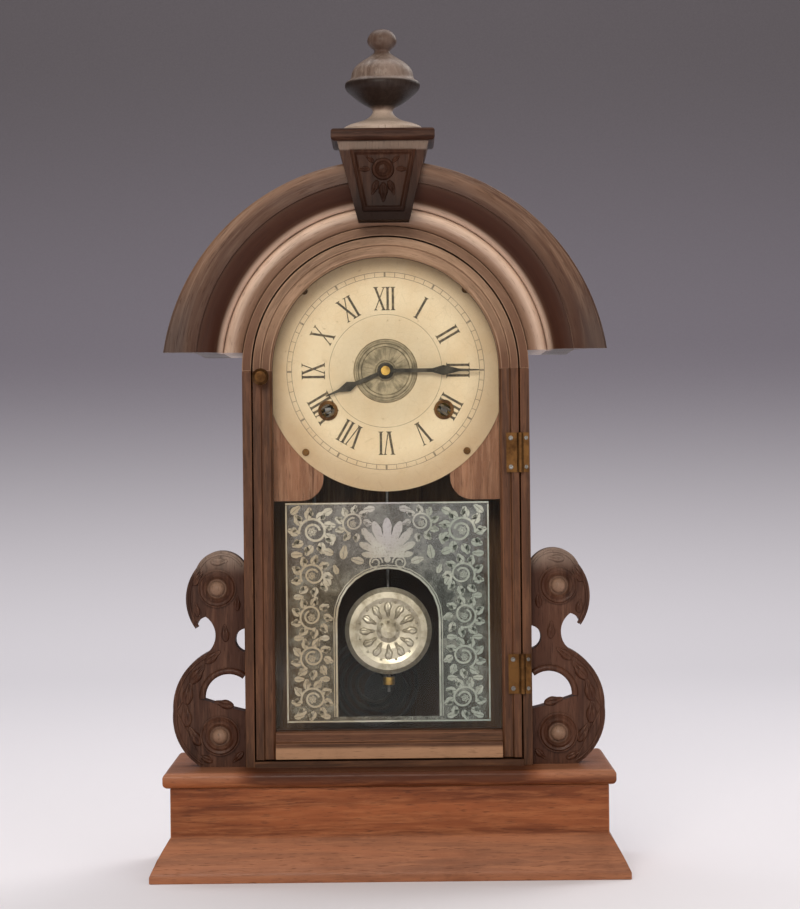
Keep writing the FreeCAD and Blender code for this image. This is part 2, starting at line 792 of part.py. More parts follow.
solids["time_great_wheel"] = great(48, great_module, wind_right, second_at)
solids["time_winding_arbor"] = winder(wind_right)
solids["second_wheel"] = join(
    *arbor(second_at, pivot_front, pivot_back),
    *lantern(12, great_module, second_at, y_great, GREAT_WHEEL, bearing(second_at, wind_right)),
    toothed(36, second_module, second_at, level_back, WHEEL, bearing(second_at, centre)),
)

CENTRE_ROD = 0.9
CANNON = 1.6
y_nut = y_dial - 7.6
centre_parts = [
    rod(centre, y_inside + 0.2, y_rear - 0.2, ARBOR),
    rod(centre, y_rear - 0.2, pivot_back, PIVOT),
    rod(centre, y_nut + 0.4, y_inside + 0.2, CENTRE_ROD),
]
solids["centre_wheel"] = join(
    *centre_parts,
    *lantern(12, second_module, centre, level_back, WHEEL, bearing(centre, second_at)),
    toothed(96, train_module, centre, level_middle, WHEEL, bearing(centre, third_at)),
)
solids["third_wheel"] = join(
    *arbor(third_at, pivot_front, pivot_back),
    *lantern(8, train_module, third_at, level_middle, WHEEL, bearing(third_at, centre)),
    toothed(80, train_module, third_at, level_front, WHEEL, bearing(third_at, escape_at)),
)
y_escape = y_plate - 3.6
escape_arbor = [
    rod(escape_at, y_escape - 0.4, y_inside + 0.2, PIVOT + 0.2),
    rod(escape_at, y_inside + 0.2, y_rear - 0.2, ARBOR),
    rod(escape_at, y_rear - 0.2, pivot_back, PIVOT),
]
solids["escape_wheel"] = join(
    *escape_arbor,
    *lantern(8, train_module, escape_at, level_front, WHEEL, bearing(escape_at, third_at)),
    saw(ESCAPE_TEETH, ESCAPE_RADIUS, ESCAPE_ROOT, escape_at, y_escape, WHEEL, 0.5),
)

# Hands and the wheels between them, in front of the front plate
motion_reach = 18.0
cannon_module = motion_reach * 2 / (12 + 36)
hour_module = motion_reach * 2 / (10 + 40)
motion_at = polar(centre, motion_reach, math.radians(150))
y_minute_wheel = y_plate - 2.6
y_hour_wheel = y_minute_wheel - 3.2
y_hour_hand = y_dial - 3.4
y_minute_hand = y_hour_hand - 2.6
cannon = join(
    rod(centre, y_minute_hand - 0.4, y_plate - 0.3, CANNON),
    *lantern(12, cannon_module, centre, y_minute_wheel, WHEEL, bearing(centre, motion_at)),
)
solids["minute_arbor"] = cannon.cut(rod(centre, y_nut, y_plate, CENTRE_ROD + PLAY))
STUD = 1.3
minute_wheel = join(
    rod(motion_at, y_hour_wheel - 0.6, y_plate - 0.4, STUD + 0.9),
    toothed(36, cannon_module, motion_at, y_minute_wheel, WHEEL, bearing(motion_at, centre)),
    *lantern(10, hour_module, motion_at, y_hour_wheel, WHEEL, bearing(motion_at, centre)),
)
solids["minute_wheel"] = minute_wheel.cut(rod(motion_at, y_dial, y_plate, STUD + PLAY))
hour_wheel = join(
    rod(centre, y_hour_hand - 0.2, y_hour_wheel + WHEEL + 0.3, HOUR_PIPE),
    toothed(40, hour_module, centre, y_hour_wheel, WHEEL, bearing(centre, motion_at)),
)
solids["hour_wheel"] = hour_wheel.cut(rod(centre, y_nut - 5, y_plate, CANNON + PLAY))


def hand(length, hub, bore, y0, turn):
    """A pointed hand with a pierced swelling, set `turn` degrees clockwise from upright."""
    outline = [
        (-1.3, -hub), (1.3, -hub), (1.3, length * 0.5), (3.4, length * 0.62), (1.0, length * 0.78),
        (0.4, length), (-0.4, length), (-1.0, length * 0.78), (-3.4, length * 0.62), (-1.3, length * 0.5),
    ]
    blade = prism([(x, z_arch + z) for x, z in outline], y0, y0 + HAND_THICK)
    whole = join(blade, rod(centre, y0, y0 + HAND_THICK, hub))
    whole = whole.cut(rod(centre, y0, y0 + HAND_THICK, bore))
    whole.rotate(V(0, 0, z_arch), ALONG, turn)
    return whole


solids["hour_hand"] = hand(HOUR_LENGTH, 5.6, HOUR_PIPE, y_hour_hand, HOUR_SET)
solids["minute_hand"] = hand(MINUTE_LENGTH, 4.2, CANNON, y_minute_hand, MINUTE_SET)
nut = rod(centre, y_nut, y_minute_hand, 3.0)
solids["hand_nut"] = nut.cut(rod(centre, y_minute_hand - 0.4, y_minute_hand, CANNON)).cut(
    rod(centre, y_nut + 0.2, y_minute_hand, CENTRE_ROD + PLAY)
)

# Strike train
count_wheel = saw(90, 19.0, 17.6, wind_left, y_great + GREAT_WHEEL, 0.8, 0.5)
count_wheel = count_wheel.cut(rod(wind_left, y_great, y_rear, WINDER + PLAY))
solids["strike_great_wheel"] = join(great(48, strike_module, wind_left, strike_second_at), count_wheel)
solids["strike_winding_arbor"] = winder(wind_left)
solids["strike_second_wheel"] = join(
    *arbor(strike_second_at, pivot_front, pivot_back),
    *lantern(12, strike_module, strike_second_at, y_great, GREAT_WHEEL, bearing(strike_second_at, wind_left)),
    toothed(60, pin_module, strike_second_at, level_back, WHEEL, bearing(strike_second_at, pin_at)),
)
lifting_pins = []
for number in range(3):
    spot = polar(pin_at, 12.6, 2 * math.pi * number / 3 + 0.4)
    lifting_pins.append(rod(spot, level_front + WHEEL, level_front + WHEEL + 1.4, 0.6))
solids["pin_wheel"] = join(
    *arbor(pin_at, pivot_front, pivot_back),
    *lantern(8, pin_module, pin_at, level_back, WHEEL, bearing(pin_at, strike_second_at)),
    toothed(56, warn_module, pin_at, level_front, WHEEL, bearing(pin_at, warn_at)),
    *lifting_pins,
)
solids["warning_wheel"] = join(
    *arbor(warn_at, pivot_front, pivot_back),
    *lantern(8, warn_module, warn_at, level_front, WHEEL, bearing(warn_at, pin_at)),
    toothed(48, fly_module, warn_at, level_back, WHEEL, bearing(warn_at, fly_at)),
)
FLY_REACH = 9.0
y_fly = level_back + 5.0
solids["fly"] = join(
    *arbor(fly_at, pivot_front, pivot_back),
    *lantern(8, fly_module, fly_at, level_back, WHEEL, bearing(fly_at, warn_at)),
    box(fly_at[0] - FLY_REACH, fly_at[0] + FLY_REACH, y_fly, y_fly + 10.0, z_arch + fly_at[1] - 0.25, z_arch + fly_at[1] + 0.25),
)

# Hammer behind the back plate, its gong and the gong's stand on the backboard
y_arm = y_rear_out + 3.4
head_x = HAMMER_SIDE
head_z = z_arch + HAMMER_UP - HEAD_DROP
arm = Part.makeCylinder(1.3, HEAD_DROP, V(HAMMER_SIDE, y_arm, head_z))
head = Part.makeCylinder(HEAD, 12.0, V(head_x, y_arm - 9.0, head_z), ALONG)
hub = rod(hammer_at, y_arm - 2.0, y_arm + 2.0, 3.0)
tail = prism(
    [
        (HAMMER_SIDE, z_arch + HAMMER_UP - 1.2),
        (pin_at[0] - 17.6, z_arch + pin_at[1] - 0.9),
        (pin_at[0] - 17.6, z_arch + pin_at[1] + 0.9),
        (HAMMER_SIDE, z_arch + HAMMER_UP + 1.2),
    ],
    level_front + WHEEL,
    level_front + WHEEL + 1.4,
)
hammer_arbor = [
    rod(hammer_at, y_inside + 0.2, y_rear - 0.2, ARBOR),
    rod(hammer_at, pivot_front, y_inside + 0.2, PIVOT),
    rod(hammer_at, y_rear - 0.2, y_arm, ARBOR),
]
solids["hammer"] = join(arm, head, hub, tail, *hammer_arbor)

y_gong = y_board - GONG_IN_FRONT
gong_z = z_case + GONG_UP


def spiral(first, pitch, half_turns, x, z, y):
    """Half circles that grow by half a pitch, as edges and as (centre, radius, start angle) rows."""
    edges = []
    rows = []
    radius = first
    for number in range(half_turns):
        offset = 0.0 if number % 2 == 0 else pitch / 2
        sign = 1 if number % 2 == 0 else -1
        middle = V(x + offset, y, z)
        a = middle + V(sign * radius, 0, 0)
        b = middle + V(0, 0, sign * radius)
        c = middle + V(-sign * radius, 0, 0)
        edges.append(Part.Arc(a, b, c).toShape())
        rows.append((middle, radius, sign))
        radius += pitch / 2
    return edges, rows


half_turns = int(2 * GONG_TURNS)
turns, rows = spiral(GONG_FIRST, GONG_PITCH, half_turns, GONG_SIDE, gong_z, y_gong)
entry = V(GONG_SIDE + GONG_FIRST, y_gong, gong_z - 2.2 * GONG_WIRE)
start_point = V(GONG_SIDE + GONG_FIRST, y_gong, gong_z)
last_middle, last_radius, last_sign = rows[-1]
end_point = last_middle + V(-last_sign * last_radius, 0, 0)
leave = end_point + V(0, 0, -last_sign * 2.2 * GONG_WIRE)
path = [Part.LineSegment(entry, start_point).toShape()] + turns
path.append(Part.LineSegment(end_point, leave).toShape())
ring = Part.Wire([Part.Circle(entry, V(0, 0, 1), GONG_WIRE).toShape()])
solids["gong_coil"] = Part.Wire(path).makePipeShell([ring], True, False)

along_coil = []
for middle, radius, sign in rows:
    for step in range(12):
        angle = math.pi * step / 12
        along_coil.append((middle.x + sign * radius * math.cos(angle), middle.z + sign * radius * math.sin(angle)))
least = 1000.0
for first in range(len(along_coil)):
    for second in range(first + 12, len(along_coil)):
        apart = math.hypot(along_coil[first][0] - along_coil[second][0], along_coil[first][1] - along_coil[second][1])
        least = min(least, apart - 2 * GONG_WIRE)
print("least gap between gong turns, mm:", round(least, 2))

boss_x = GONG_SIDE + GONG_FIRST
boss_top = entry.z
boss = box(boss_x - 3.4, boss_x + 1.6, y_gong - 3.4, y_gong + 3.4, boss_top - 3.0, boss_top)
post = Part.makeCylinder(3.0, y_board - y_gong - 3.4, V(boss_x - 0.2, y_gong + 3.4, boss_top - 3.5), ALONG)
flange = Part.makeCylinder(15.0, 4.0, V(boss_x - 0.2, y_board - 4.0, boss_top - 3.5), ALONG)
solids["gong_base"] = join(boss, post, flange)


def mainspring(at):
    """A flat spring wound in half circles round its winding arbor."""
    y0 = y_ratchet - 1.0 - SPRING_WIDTH
    x = at[0]
    z = z_arch + at[1]
    first = WINDER + 0.4
    count = 2 * SPRING_TURNS
    inner, inner_rows = spiral(first, SPRING_PITCH, count, x, z, y0)
    outer, outer_rows = spiral(first + SPRING_THICK, SPRING_PITCH, count, x, z, y0)
    middle, radius, sign = inner_rows[-1]
    end_inner = middle + V(-sign * radius, 0, 0)
    end_outer = middle + V(-sign * (radius + SPRING_THICK), 0, 0)
    start_inner = V(x + first, y0, z)
    start_outer = V(x + first + SPRING_THICK, y0, z)
    edges = inner + [Part.LineSegment(end_inner, end_outer).toShape()]
    edges = edges + outer + [Part.LineSegment(start_outer, start_inner).toShape()]
    return Part.Face(Part.Wire(Part.__sortEdges__(edges))).extrude(V(0, SPRING_WIDTH, 0))


solids["mainsprings"] = side_by_side([mainspring(wind_left), mainspring(wind_right)])

# Movement plates with pillars, and the blocks that hold them off the backboard
pillar_spots = [(sx * (PLATE_HALF - 6.0), z) for sx in (-1, 1) for z in (PLATE_TOP - 6.0, 6.0 - PLATE_FOOT)]
block_spots = [(-36.0, PLATE_TOP - 4.0), (36.0, PLATE_TOP - 4.0), (-30.0, 4.0 - PLATE_FOOT), (30.0, 4.0 - PLATE_FOOT)]
plain_pivots = [second_at, third_at, strike_second_at, pin_at, warn_at, fly_at, hammer_at]
plate_front = box(-PLATE_HALF, PLATE_HALF, y_plate, y_inside, z_arch - PLATE_FOOT, z_arch + PLATE_TOP)
plate_rear = box(-PLATE_HALF, PLATE_HALF, y_rear, y_rear_out, z_arch - PLATE_FOOT, z_arch + PLATE_TOP)
holes = [(spot, PIVOT + PLAY) for spot in plain_pivots]
front_holes = holes + [(centre, CENTRE_ROD + PLAY), (escape_at, PIVOT + 0.2 + PLAY)]
front_holes = front_holes + [(spot, WINDER + PLAY) for spot in (wind_left, wind_right)]
rear_holes = holes[:-1] + [(hammer_at, ARBOR + PLAY), (centre, PIVOT + PLAY), (escape_at, PIVOT + PLAY)]
rear_holes = rear_holes + [(spot, WINDER - 1.0 + PLAY) for spot in (wind_left, wind_right)]
for spot, radius in front_holes:
    plate_front = plate_front.cut(rod(spot, y_plate, y_inside, radius))
for spot, radius in rear_holes:
    plate_rear = plate_rear.cut(rod(spot, y_rear, y_rear_out, radius))
verge_stud = rod(verge_at, y_escape - 3.2, y_plate, STUD)
motion_stud = rod(motion_at, y_hour_wheel - 1.0, y_plate, STUD)
solids["movement_front_plate"] = join(plate_front, verge_stud, motion_stud)
pillars = [rod(spot, y_inside, y_rear, PILLAR) for spot in pillar_spots]
solids["movement_back_plate"] = join(plate_rear, *pillars)
SEAT_HALF = 9.0
SEAT_RISE = 7.0
seats = []
for x, z in block_spots:
    low = z_arch + z - SEAT_RISE
    seats.append(box(x - SEAT_HALF, x + SEAT_HALF, y_rear_out, y_board, low, low + 2 * SEAT_RISE))
solids["movement_blocks"] = side_by_side(seats)

# Suspension post, pendulum and the verge with its crutch
post_at = (0.0, 6.5 - VERGE_DROP)
POST = 2.2
slot = box(-1.0, 1.0, y_rod - 2.6, y_rod + 2.6, z_arch + post_at[1] - POST, z_arch + post_at[1] + 0.8)
solids["suspension_post"] = rod(post_at, y_rod - 3.2, y_plate, POST).cut(slot)

verge_z = z_arch - VERGE_DROP
bob_z = verge_z - BOB_DROP
rod_end = bob_z - BOB_RADIUS - 12.0
strip = box(-0.2, 0.2, y_rod - 2.0, y_rod + 2.0, verge_z - 6.0, verge_z + 6.0)
axis_pin = rod(verge_at, y_rod - 2.2, y_rod + 2.2, 0.7)
wire = Part.makeCylinder(ROD, verge_z - 5.0 - rod_end, V(0, y_rod, rod_end))
solids["pendulum_rod"] = join(strip, axis_pin, wire)
y_bob = y_rod - BOB_THICK * 0.6
bob_at = (0.0, bob_z - z_arch)
bob_steps = [
    (0, 0.3), (5, 0.6), (8, 2.0), (12, 1.5), (19, 1.5), (22, 0.6), (BOB_RADIUS - 3, 0.8), (BOB_RADIUS, 3.0),
    (BOB_RADIUS, 4.6), (BOB_RADIUS - 6, BOB_THICK),
]
bob = turned_along(bob_steps, bob_at, y_bob)
rod_room = Part.makeCylinder(ROD, 4 * BOB_RADIUS, V(0, y_rod, bob_z - 2 * BOB_RADIUS))
solids["pendulum_bob"] = bob.cut(rod_room)
nut_body = Part.makeCylinder(4.0, 5.0, V(0, y_rod, bob_z - BOB_RADIUS - 7.0))
solids["rating_nut"] = nut_body.cut(rod_room)

hub_front = y_escape - 3.0
verge_hub = rod(verge_at, hub_front, y_escape + WHEEL, 3.2)
arms = []
for side in (-1, 1):
    tip = polar(escape_at, PALLET_AT, math.radians(90 - side * 40))
    x = tip[0]
    z = z_arch + tip[1]
    arms.append(prism(
        [(0, verge_z + 1.4 * 1), (x + side * 1.6, z + 1.6), (x + side * 1.0, z), (x - side * 0.2, z + 0.2), (0, verge_z - 1.4)],
        y_escape,
        y_escape + WHEEL,
    ))
y_crutch = hub_front
bar = box(-0.9, 0.9, y_crutch, y_crutch + 1.0, verge_z - CRUTCH, verge_z)
prongs = []
for side in (-1, 1):
    near = side * (ROD + 0.3)
    far = side * (ROD + 1.5)
    prongs.append(box(min(near, far), max(near, far), y_rod - 2.0, y_crutch + 1.0, verge_z - CRUTCH - 4.0, verge_z - CRUTCH))
bridge = box(-ROD - 1.5, ROD + 1.5, y_crutch, y_crutch + 1.0, verge_z - CRUTCH - 4.0, verge_z - CRUTCH)
verge = join(verge_hub, *arms, bar, bridge, *prongs)
solids["verge"] = verge.cut(rod(verge_at, hub_front, y_escape + WHEEL, STUD + PLAY))

os.makedirs("parts", exist_ok=True)
for name, shape in solids.items():
    shape.exportStep("parts/" + name + ".step")
    if not shape.isValid() or shape.Volume <= 0:
        print("check", name, shape.isValid(), round(shape.Volume, 1))
print(len(solids), "pieces")
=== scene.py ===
import json
from math import atan2, cos, hypot, pi, radians, sin

import bmesh
import bpy
from mathutils import Matrix, Vector

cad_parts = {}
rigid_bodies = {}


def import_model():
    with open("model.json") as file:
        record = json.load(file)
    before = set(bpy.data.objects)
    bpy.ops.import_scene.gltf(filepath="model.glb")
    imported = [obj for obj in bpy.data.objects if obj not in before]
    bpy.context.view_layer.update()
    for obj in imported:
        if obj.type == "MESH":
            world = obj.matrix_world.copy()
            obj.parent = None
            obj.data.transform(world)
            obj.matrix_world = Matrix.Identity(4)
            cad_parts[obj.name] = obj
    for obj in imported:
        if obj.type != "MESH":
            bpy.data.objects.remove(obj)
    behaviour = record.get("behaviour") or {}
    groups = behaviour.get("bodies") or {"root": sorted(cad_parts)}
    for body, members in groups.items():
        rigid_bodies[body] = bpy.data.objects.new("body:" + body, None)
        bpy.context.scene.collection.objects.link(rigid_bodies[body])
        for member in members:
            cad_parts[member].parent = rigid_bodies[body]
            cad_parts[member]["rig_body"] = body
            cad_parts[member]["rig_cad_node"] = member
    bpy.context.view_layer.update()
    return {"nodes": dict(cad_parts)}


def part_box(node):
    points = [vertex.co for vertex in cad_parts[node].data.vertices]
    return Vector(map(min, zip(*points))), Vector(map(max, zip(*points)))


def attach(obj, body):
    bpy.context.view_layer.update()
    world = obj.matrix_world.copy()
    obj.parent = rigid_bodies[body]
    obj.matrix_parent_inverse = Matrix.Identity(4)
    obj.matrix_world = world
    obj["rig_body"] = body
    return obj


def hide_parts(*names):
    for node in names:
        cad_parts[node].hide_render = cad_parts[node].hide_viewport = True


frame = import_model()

MM = 0.001

# Places on the clock that the trim is fitted to
dial_low, dial_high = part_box("dial")
HEART = (dial_low + dial_high) / 2
DIAL_FACE = dial_high.y - 0.8 * MM
DIAL_BOSS = dial_low.y
TRACK_INNER = 62.4 * MM
TRACK_OUTER = 65.6 * MM
TRACK_LINE = 0.2 * MM
HOUR_RING = 37.5 * MM
PANE_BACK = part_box("door_glass")[1].y
BRACKET_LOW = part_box("bracket_right")[0]
BRACKET_FACE = -22.0 * MM
KEY_LOW, KEY_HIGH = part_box("keystone")
BOB_LOW, BOB_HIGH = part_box("pendulum_bob")
BOB = (BOB_LOW + BOB_HIGH) / 2


def shade(red, green, blue):
    """A colour given as it looks on a screen, made linear."""
    return *(p / 12.92 if p <= 0.04045 else ((p + 0.055) / 1.055) ** 2.4 for p in (red, green, blue)), 1.0


def deepened(tone, share):
    """A darker tone of the same colour."""
    return tuple(c * share for c in tone[:3]) + (1.0,)


def summed(operation, turned=False):
    """A sum of a reading with another value, or of that value with the reading."""
    def reckoned(self, other=0.0):
        first, second = (other, self) if turned else (self, other)
        return self.reckon(operation, first, second)
    return reckoned


class Reading:
    """A value that changes over a surface. Sums with readings become nodes of their finish."""

    def __init__(self, finish, socket):
        self.finish = finish
        self.socket = socket

    def reckon(self, operation, first, second=0.0, clamp=False):
        return self.finish.node("Math", {"operation": operation, "use_clamp": clamp}, {0: first, 1: second})

    __add__ = summed("ADD")
    __radd__ = summed("ADD", True)
    __sub__ = summed("SUBTRACT")
    __rsub__ = summed("SUBTRACT", True)
    __mul__ = summed("MULTIPLY")
    __truediv__ = summed("DIVIDE")
    __pow__ = summed("POWER")
    __abs__ = summed("ABSOLUTE")
    __lt__ = summed("LESS_THAN")
    __gt__ = summed("GREATER_THAN")

    def clamped(self):
        return self.reckon("ADD", self, 0.0, True)

    def eased(self, low, high):
        """0 below low and 1 above high, with a soft change between."""
        limits = {"Value": self, "From Min": low, "From Max": high}
        return self.finish.node("MapRange", {"interpolation_type": "SMOOTHSTEP"}, limits)


class Finish:
    """A material and the nodes that make it."""

    def __init__(self, name):
        self.material = bpy.data.materials.new(name)
        self.material.use_nodes = True
        self.tree = self.material.node_tree
        self.coat = next(n for n in self.tree.nodes if n.type == "BSDF_PRINCIPLED")
        self.end = next(n for n in self.tree.nodes if n.type == "OUTPUT_MATERIAL")

    def node(self, kind, settings=None, sockets=None, out=0):
        made = self.tree.nodes.new("ShaderNode" + kind)
        for key, value in (settings or {}).items():
            setattr(made, key, value)
        for key, value in (sockets or {}).items():
            self.feed(made.inputs[key], value)
        return Reading(self, made.outputs[out])

    def feed(self, socket, value):
        if isinstance(value, Reading):
            self.tree.links.new(value.socket, socket)
        else:
            socket.default_value = value

    def set(self, **sockets):
        for key, value in sockets.items():
            self.feed(self.coat.inputs[key.replace("_", " ")], value)
        return self.material

    def spot(self, centre=(0, 0, 0), stretch=(1, 1, 1)):
        """Where a point of the surface lies, from a centre and stretched for a pattern."""
        place = self.node("TexCoord", out="Object")
        moved = tuple(-c * s for c, s in zip(centre, stretch))
        return self.node("Mapping", None, {"Vector": place, "Location": moved, "Scale": stretch})

    def axes(self, place):
        split = self.node("SeparateXYZ", None, {0: place})
        return [Reading(self, socket) for socket in split.socket.node.outputs]

    def noise(self, place, scale, detail=3.0, rough=0.5, twist=0.0):
        sockets = {"Vector": place, "Scale": scale, "Detail": detail, "Roughness": rough, "Distortion": twist}
        return self.node("TexNoise", None, sockets)

    def mixed(self, share, first, second):
        return self.node("Mix", {"data_type": "RGBA"}, {0: share, 6: first, 7: second}, 2)

    def bumped(self, height, strength, depth):
        return self.node("Bump", None, {"Height": height, "Strength": strength, "Distance": depth})


def wood(name, dark, mid, light, run="Z", gloss=0.45, arch=False, depth=0.25, shine=0.16, toned=()):
    """Old oiled wood: broad figure, fine grain along its run, open pores and rubbed corners.

    toned pairs a tone with how far the wood goes to it, by a point's place about the dial centre."""
    f = Finish(name)
    plain = f.spot(HEART)
    x, y, z = f.axes(plain)
    reach = (x * x + z * z) ** 0.5
    place = plain
    if arch:
        sweep = x.reckon("ARCTAN2", x, z) * 0.1
        place = f.node("CombineXYZ", None, {0: sweep, 1: reach, 2: y})
        run = "X"
    elif run == "X":
        ends = f.axes(f.node("TexCoord", out="Normal"))[0]
        swapped = f.node("CombineXYZ", None, {0: y, 1: x, 2: z})
        sockets = {0: abs(ends).eased(0.6, 0.7), 4: plain, 5: swapped}
        place = f.node("Mix", {"data_type": "VECTOR"}, sockets, 1)
    squeeze = {"X": (0.07, 1, 1), "Z": (1, 1, 0.07)}[run]
    laid = f.node("Mapping", None, {"Vector": place, "Scale": squeeze})
    figure = f.noise(laid, 60.0, 3.0, 0.5, 1.4).eased(0.3, 0.7)
    grain = f.noise(laid, 430.0, 5.0, 0.65, 0.4)
    pores = f.noise(laid, 1700.0, 2.0).eased(0.58, 0.72)
    handled = f.noise(plain, 26.0, 5.0, 0.6)
    rub = f.node("Attribute", {"attribute_name": "rub"}, None, "Fac")
    colour = f.mixed(figure, dark, mid)
    colour = f.mixed(grain.eased(0.42, 0.74) * 0.55, colour, light)
    for tone, share in toned:
        colour = f.mixed((share(x, y, z, reach) * (0.8 + grain * 0.3)).clamped(), colour, tone)
    colour = f.mixed((rub * handled.eased(0.3, 0.65) * 0.6).clamped(), colour, light)
    colour = f.mixed(pores * 0.5, colour, deepened(dark, 0.35))
    colour = f.mixed(handled.eased(0.5, 0.8) * 0.35, colour, dark)
    rough = gloss + (handled - 0.5) * 0.3 + pores * 0.12
    bump = f.bumped(grain * 0.4 - pores, depth, 0.35 * MM)
    return f.set(
        Base_Color=colour, Roughness=rough.clamped(), Normal=bump, Specular_IOR_Level=shine, Coat_Weight=0.02,
    )


def metal(name, bright, dull, gloss=0.3, lustre=1.0, scale=90.0):
    """Handled metal with tarnish in patches and fine rubbing marks."""
    f = Finish(name)
    place = f.spot(HEART)
    patches = f.noise(place, scale, 6.0, 0.62).eased(0.36, 0.68)
    specks = f.noise(place, scale * 9, 3.0, 0.6)
    rubbed = f.noise(f.spot(HEART, (1, 1, 0.12)), scale * 26, 2.0)
    colour = f.mixed(patches * 0.75, bright, dull)
    colour = f.mixed(specks.eased(0.6, 0.75) * 0.5, colour, dull)
    rough = gloss + patches * 0.22 + (rubbed - 0.5) * 0.18
    bump = f.bumped(specks * 0.5 + rubbed * 0.5, 0.12, 0.15 * MM)
    return f.set(Base_Color=colour, Metallic=lustre, Roughness=rough.clamped(), Normal=bump)


def dial_paint():
    """Cream paint, brown at the rim, partly aged paint and partly painted shade under the door's frame, and
    greyed round the hands, with a minute track, stains and crazing.
    """
    f = Finish("dial_cream_paint")
    place = f.spot(HEART)
    x, y, z = f.axes(place)
    reach = (x * x + z * z) ** 0.5
    minutes = x.reckon("ARCTAN2", x, z) * (60 / (2 * pi)) + 60.0
    stain = f.noise(place, 34.0, 6.0, 0.6)
    fox = f.noise(place, 260.0).eased(0.66, 0.76)
    craze = f.node("TexVoronoi", {"feature": "DISTANCE_TO_EDGE"}, {"Vector": place, "Scale": 210.0})
    colour = f.mixed(stain.eased(0.35, 0.75) * 0.55, shade(0.90, 0.81, 0.66), shade(0.84, 0.71, 0.53))
    # Browner towards the rim: aged paint, deepened as painted shade from the door's frame.
    colour = f.mixed(reach.eased(0.052, 0.076) * 0.6, colour, shade(0.64, 0.49, 0.33))
    colour = f.mixed((1 - reach.eased(0.024, 0.052)) * 0.3, colour, shade(0.61, 0.54, 0.42))
    colour = f.mixed(fox * 0.4, colour, shade(0.52, 0.38, 0.24))
    colour = f.mixed((1 - craze.eased(0.0, 0.03)) * 0.14, colour, shade(0.46, 0.34, 0.21))
    track = (reach > TRACK_INNER) * (reach < TRACK_OUTER)
    rings = (abs(reach - TRACK_INNER) < TRACK_LINE) + (abs(reach - TRACK_OUTER) < TRACK_LINE)
    minute = abs(x.reckon("FRACT", minutes + 0.5) - 0.5) * reach
    five = abs(x.reckon("FRACT", minutes / 5 + 0.5) - 0.5) * reach
    ticks = (minute < 2.0 * MM) + (five < 1.2 * MM)
    ink = (rings + track * ticks + (abs(reach - HOUR_RING) < TRACK_LINE * 0.8)).clamped()
    worn = 1 - f.noise(place, 120.0, 5.0, 0.7).eased(0.5, 0.72) * 0.6
    colour = f.mixed(ink * worn * 0.7, colour, shade(0.27, 0.21, 0.13))
    bump = f.bumped(craze.eased(0.0, 0.05), 0.08, 0.08 * MM)
    rough = 0.5 + (stain - 0.5) * 0.3
    return f.set(Base_Color=colour, Roughness=rough, Normal=bump)


def printed_ink():
    """Printer's black gone thin and brown."""
    f = Finish("dial_ink")
    worn = f.noise(f.spot(HEART), 420.0, 5.0, 0.65)
    colour = f.mixed(worn.eased(0.42, 0.72), shade(0.25, 0.20, 0.13), shade(0.50, 0.42, 0.29))
    return f.set(Base_Color=colour, Roughness=0.45 + worn * 0.3)


def stencil_silver():
    """Silver leaf laid through a stencil, warm at one side, cool at the other and rubbed thin."""
    f = Finish("stencil_silver")
    place = f.spot(HEART)
    broad = f.noise(place, 36.0)
    fine = f.noise(place, 800.0, 4.0, 0.6)
    x, y, z = f.axes(place)
    leaf = f.mixed(x.eased(-0.05, 0.05), shade(0.64, 0.57, 0.47), shade(0.57, 0.59, 0.55))
    leaf = f.mixed((1 - abs(x / 0.03)).clamped() * z.eased(-0.14, -0.1), leaf, shade(0.67, 0.64, 0.65))
    leaf = f.mixed(broad.eased(0.45, 0.7) * 0.6, leaf, shade(0.78, 0.76, 0.71))
    leaf = f.mixed(fine.eased(0.50, 0.74) * 0.55, leaf, shade(0.36, 0.36, 0.32))
    bump = f.bumped(fine, 0.2, 0.1 * MM)
    return f.set(Base_Color=leaf, Metallic=0.25, Roughness=0.4 + fine * 0.25, Normal=bump)


def stencil_ground():
    """The thin frosted ground between the motifs, clear where it has worn away."""
    f = Finish("stencil_ground")
    place = f.spot(HEART)
    cloud = f.noise(place, 75.0, 5.0, 0.62)
    dots = f.node("TexVoronoi", None, {"Vector": place, "Scale": 420.0})
    x, y, z = f.axes(place)
    colour = f.mixed(x.eased(-0.05, 0.05), shade(0.46, 0.40, 0.31), shade(0.41, 0.43, 0.41))
    colour = f.mixed(cloud.eased(0.45, 0.7) * 0.5, colour, shade(0.58, 0.57, 0.52))
    colour = f.mixed(z.eased(-0.15, -0.11) * 0.5, colour, shade(0.53, 0.52, 0.53))
    hold = 0.2 + cloud.eased(0.4, 0.66) * 0.5 + (dots < 0.35) * 0.12 + z.eased(-0.15, -0.11) * 0.15
    hold = hold * (1 - abs(x).eased(0.056, 0.067) * 0.7)
    return f.set(Base_Color=colour, Roughness=0.55 + cloud * 0.2, Alpha=hold.clamped())


def pane_glass():
    """Old clear glass: the room's light on it, a faint haze and the view through it."""
    f = Finish("pane_glass")
    haze = f.noise(f.spot(HEART), 40.0, 6.0, 0.6)
    ripple = f.bumped(f.noise(f.spot(HEART, (1, 1, 0.3)), 22.0, 2.0, 0.4), 0.1, 2.0 * MM)
    f.set(Base_Color=shade(0.86, 0.89, 0.88), Metallic=0.9, Roughness=0.05 + haze * 0.06, Normal=ripple)
    clear = f.node("BsdfTransparent", None, {"Color": (0.985, 0.992, 0.988, 1.0)})
    slant = f.node("LayerWeight", None, {"Blend": 0.5}, "Facing")
    share = (slant ** 4.0 * 0.6 + 0.012 + haze.eased(0.5, 0.8) * 0.012).clamped()
    both = f.node("MixShader", None, {0: share, 1: clear, 2: Reading(f, f.coat.outputs[0])})
    f.feed(f.end.inputs["Surface"], both)
    return f.material


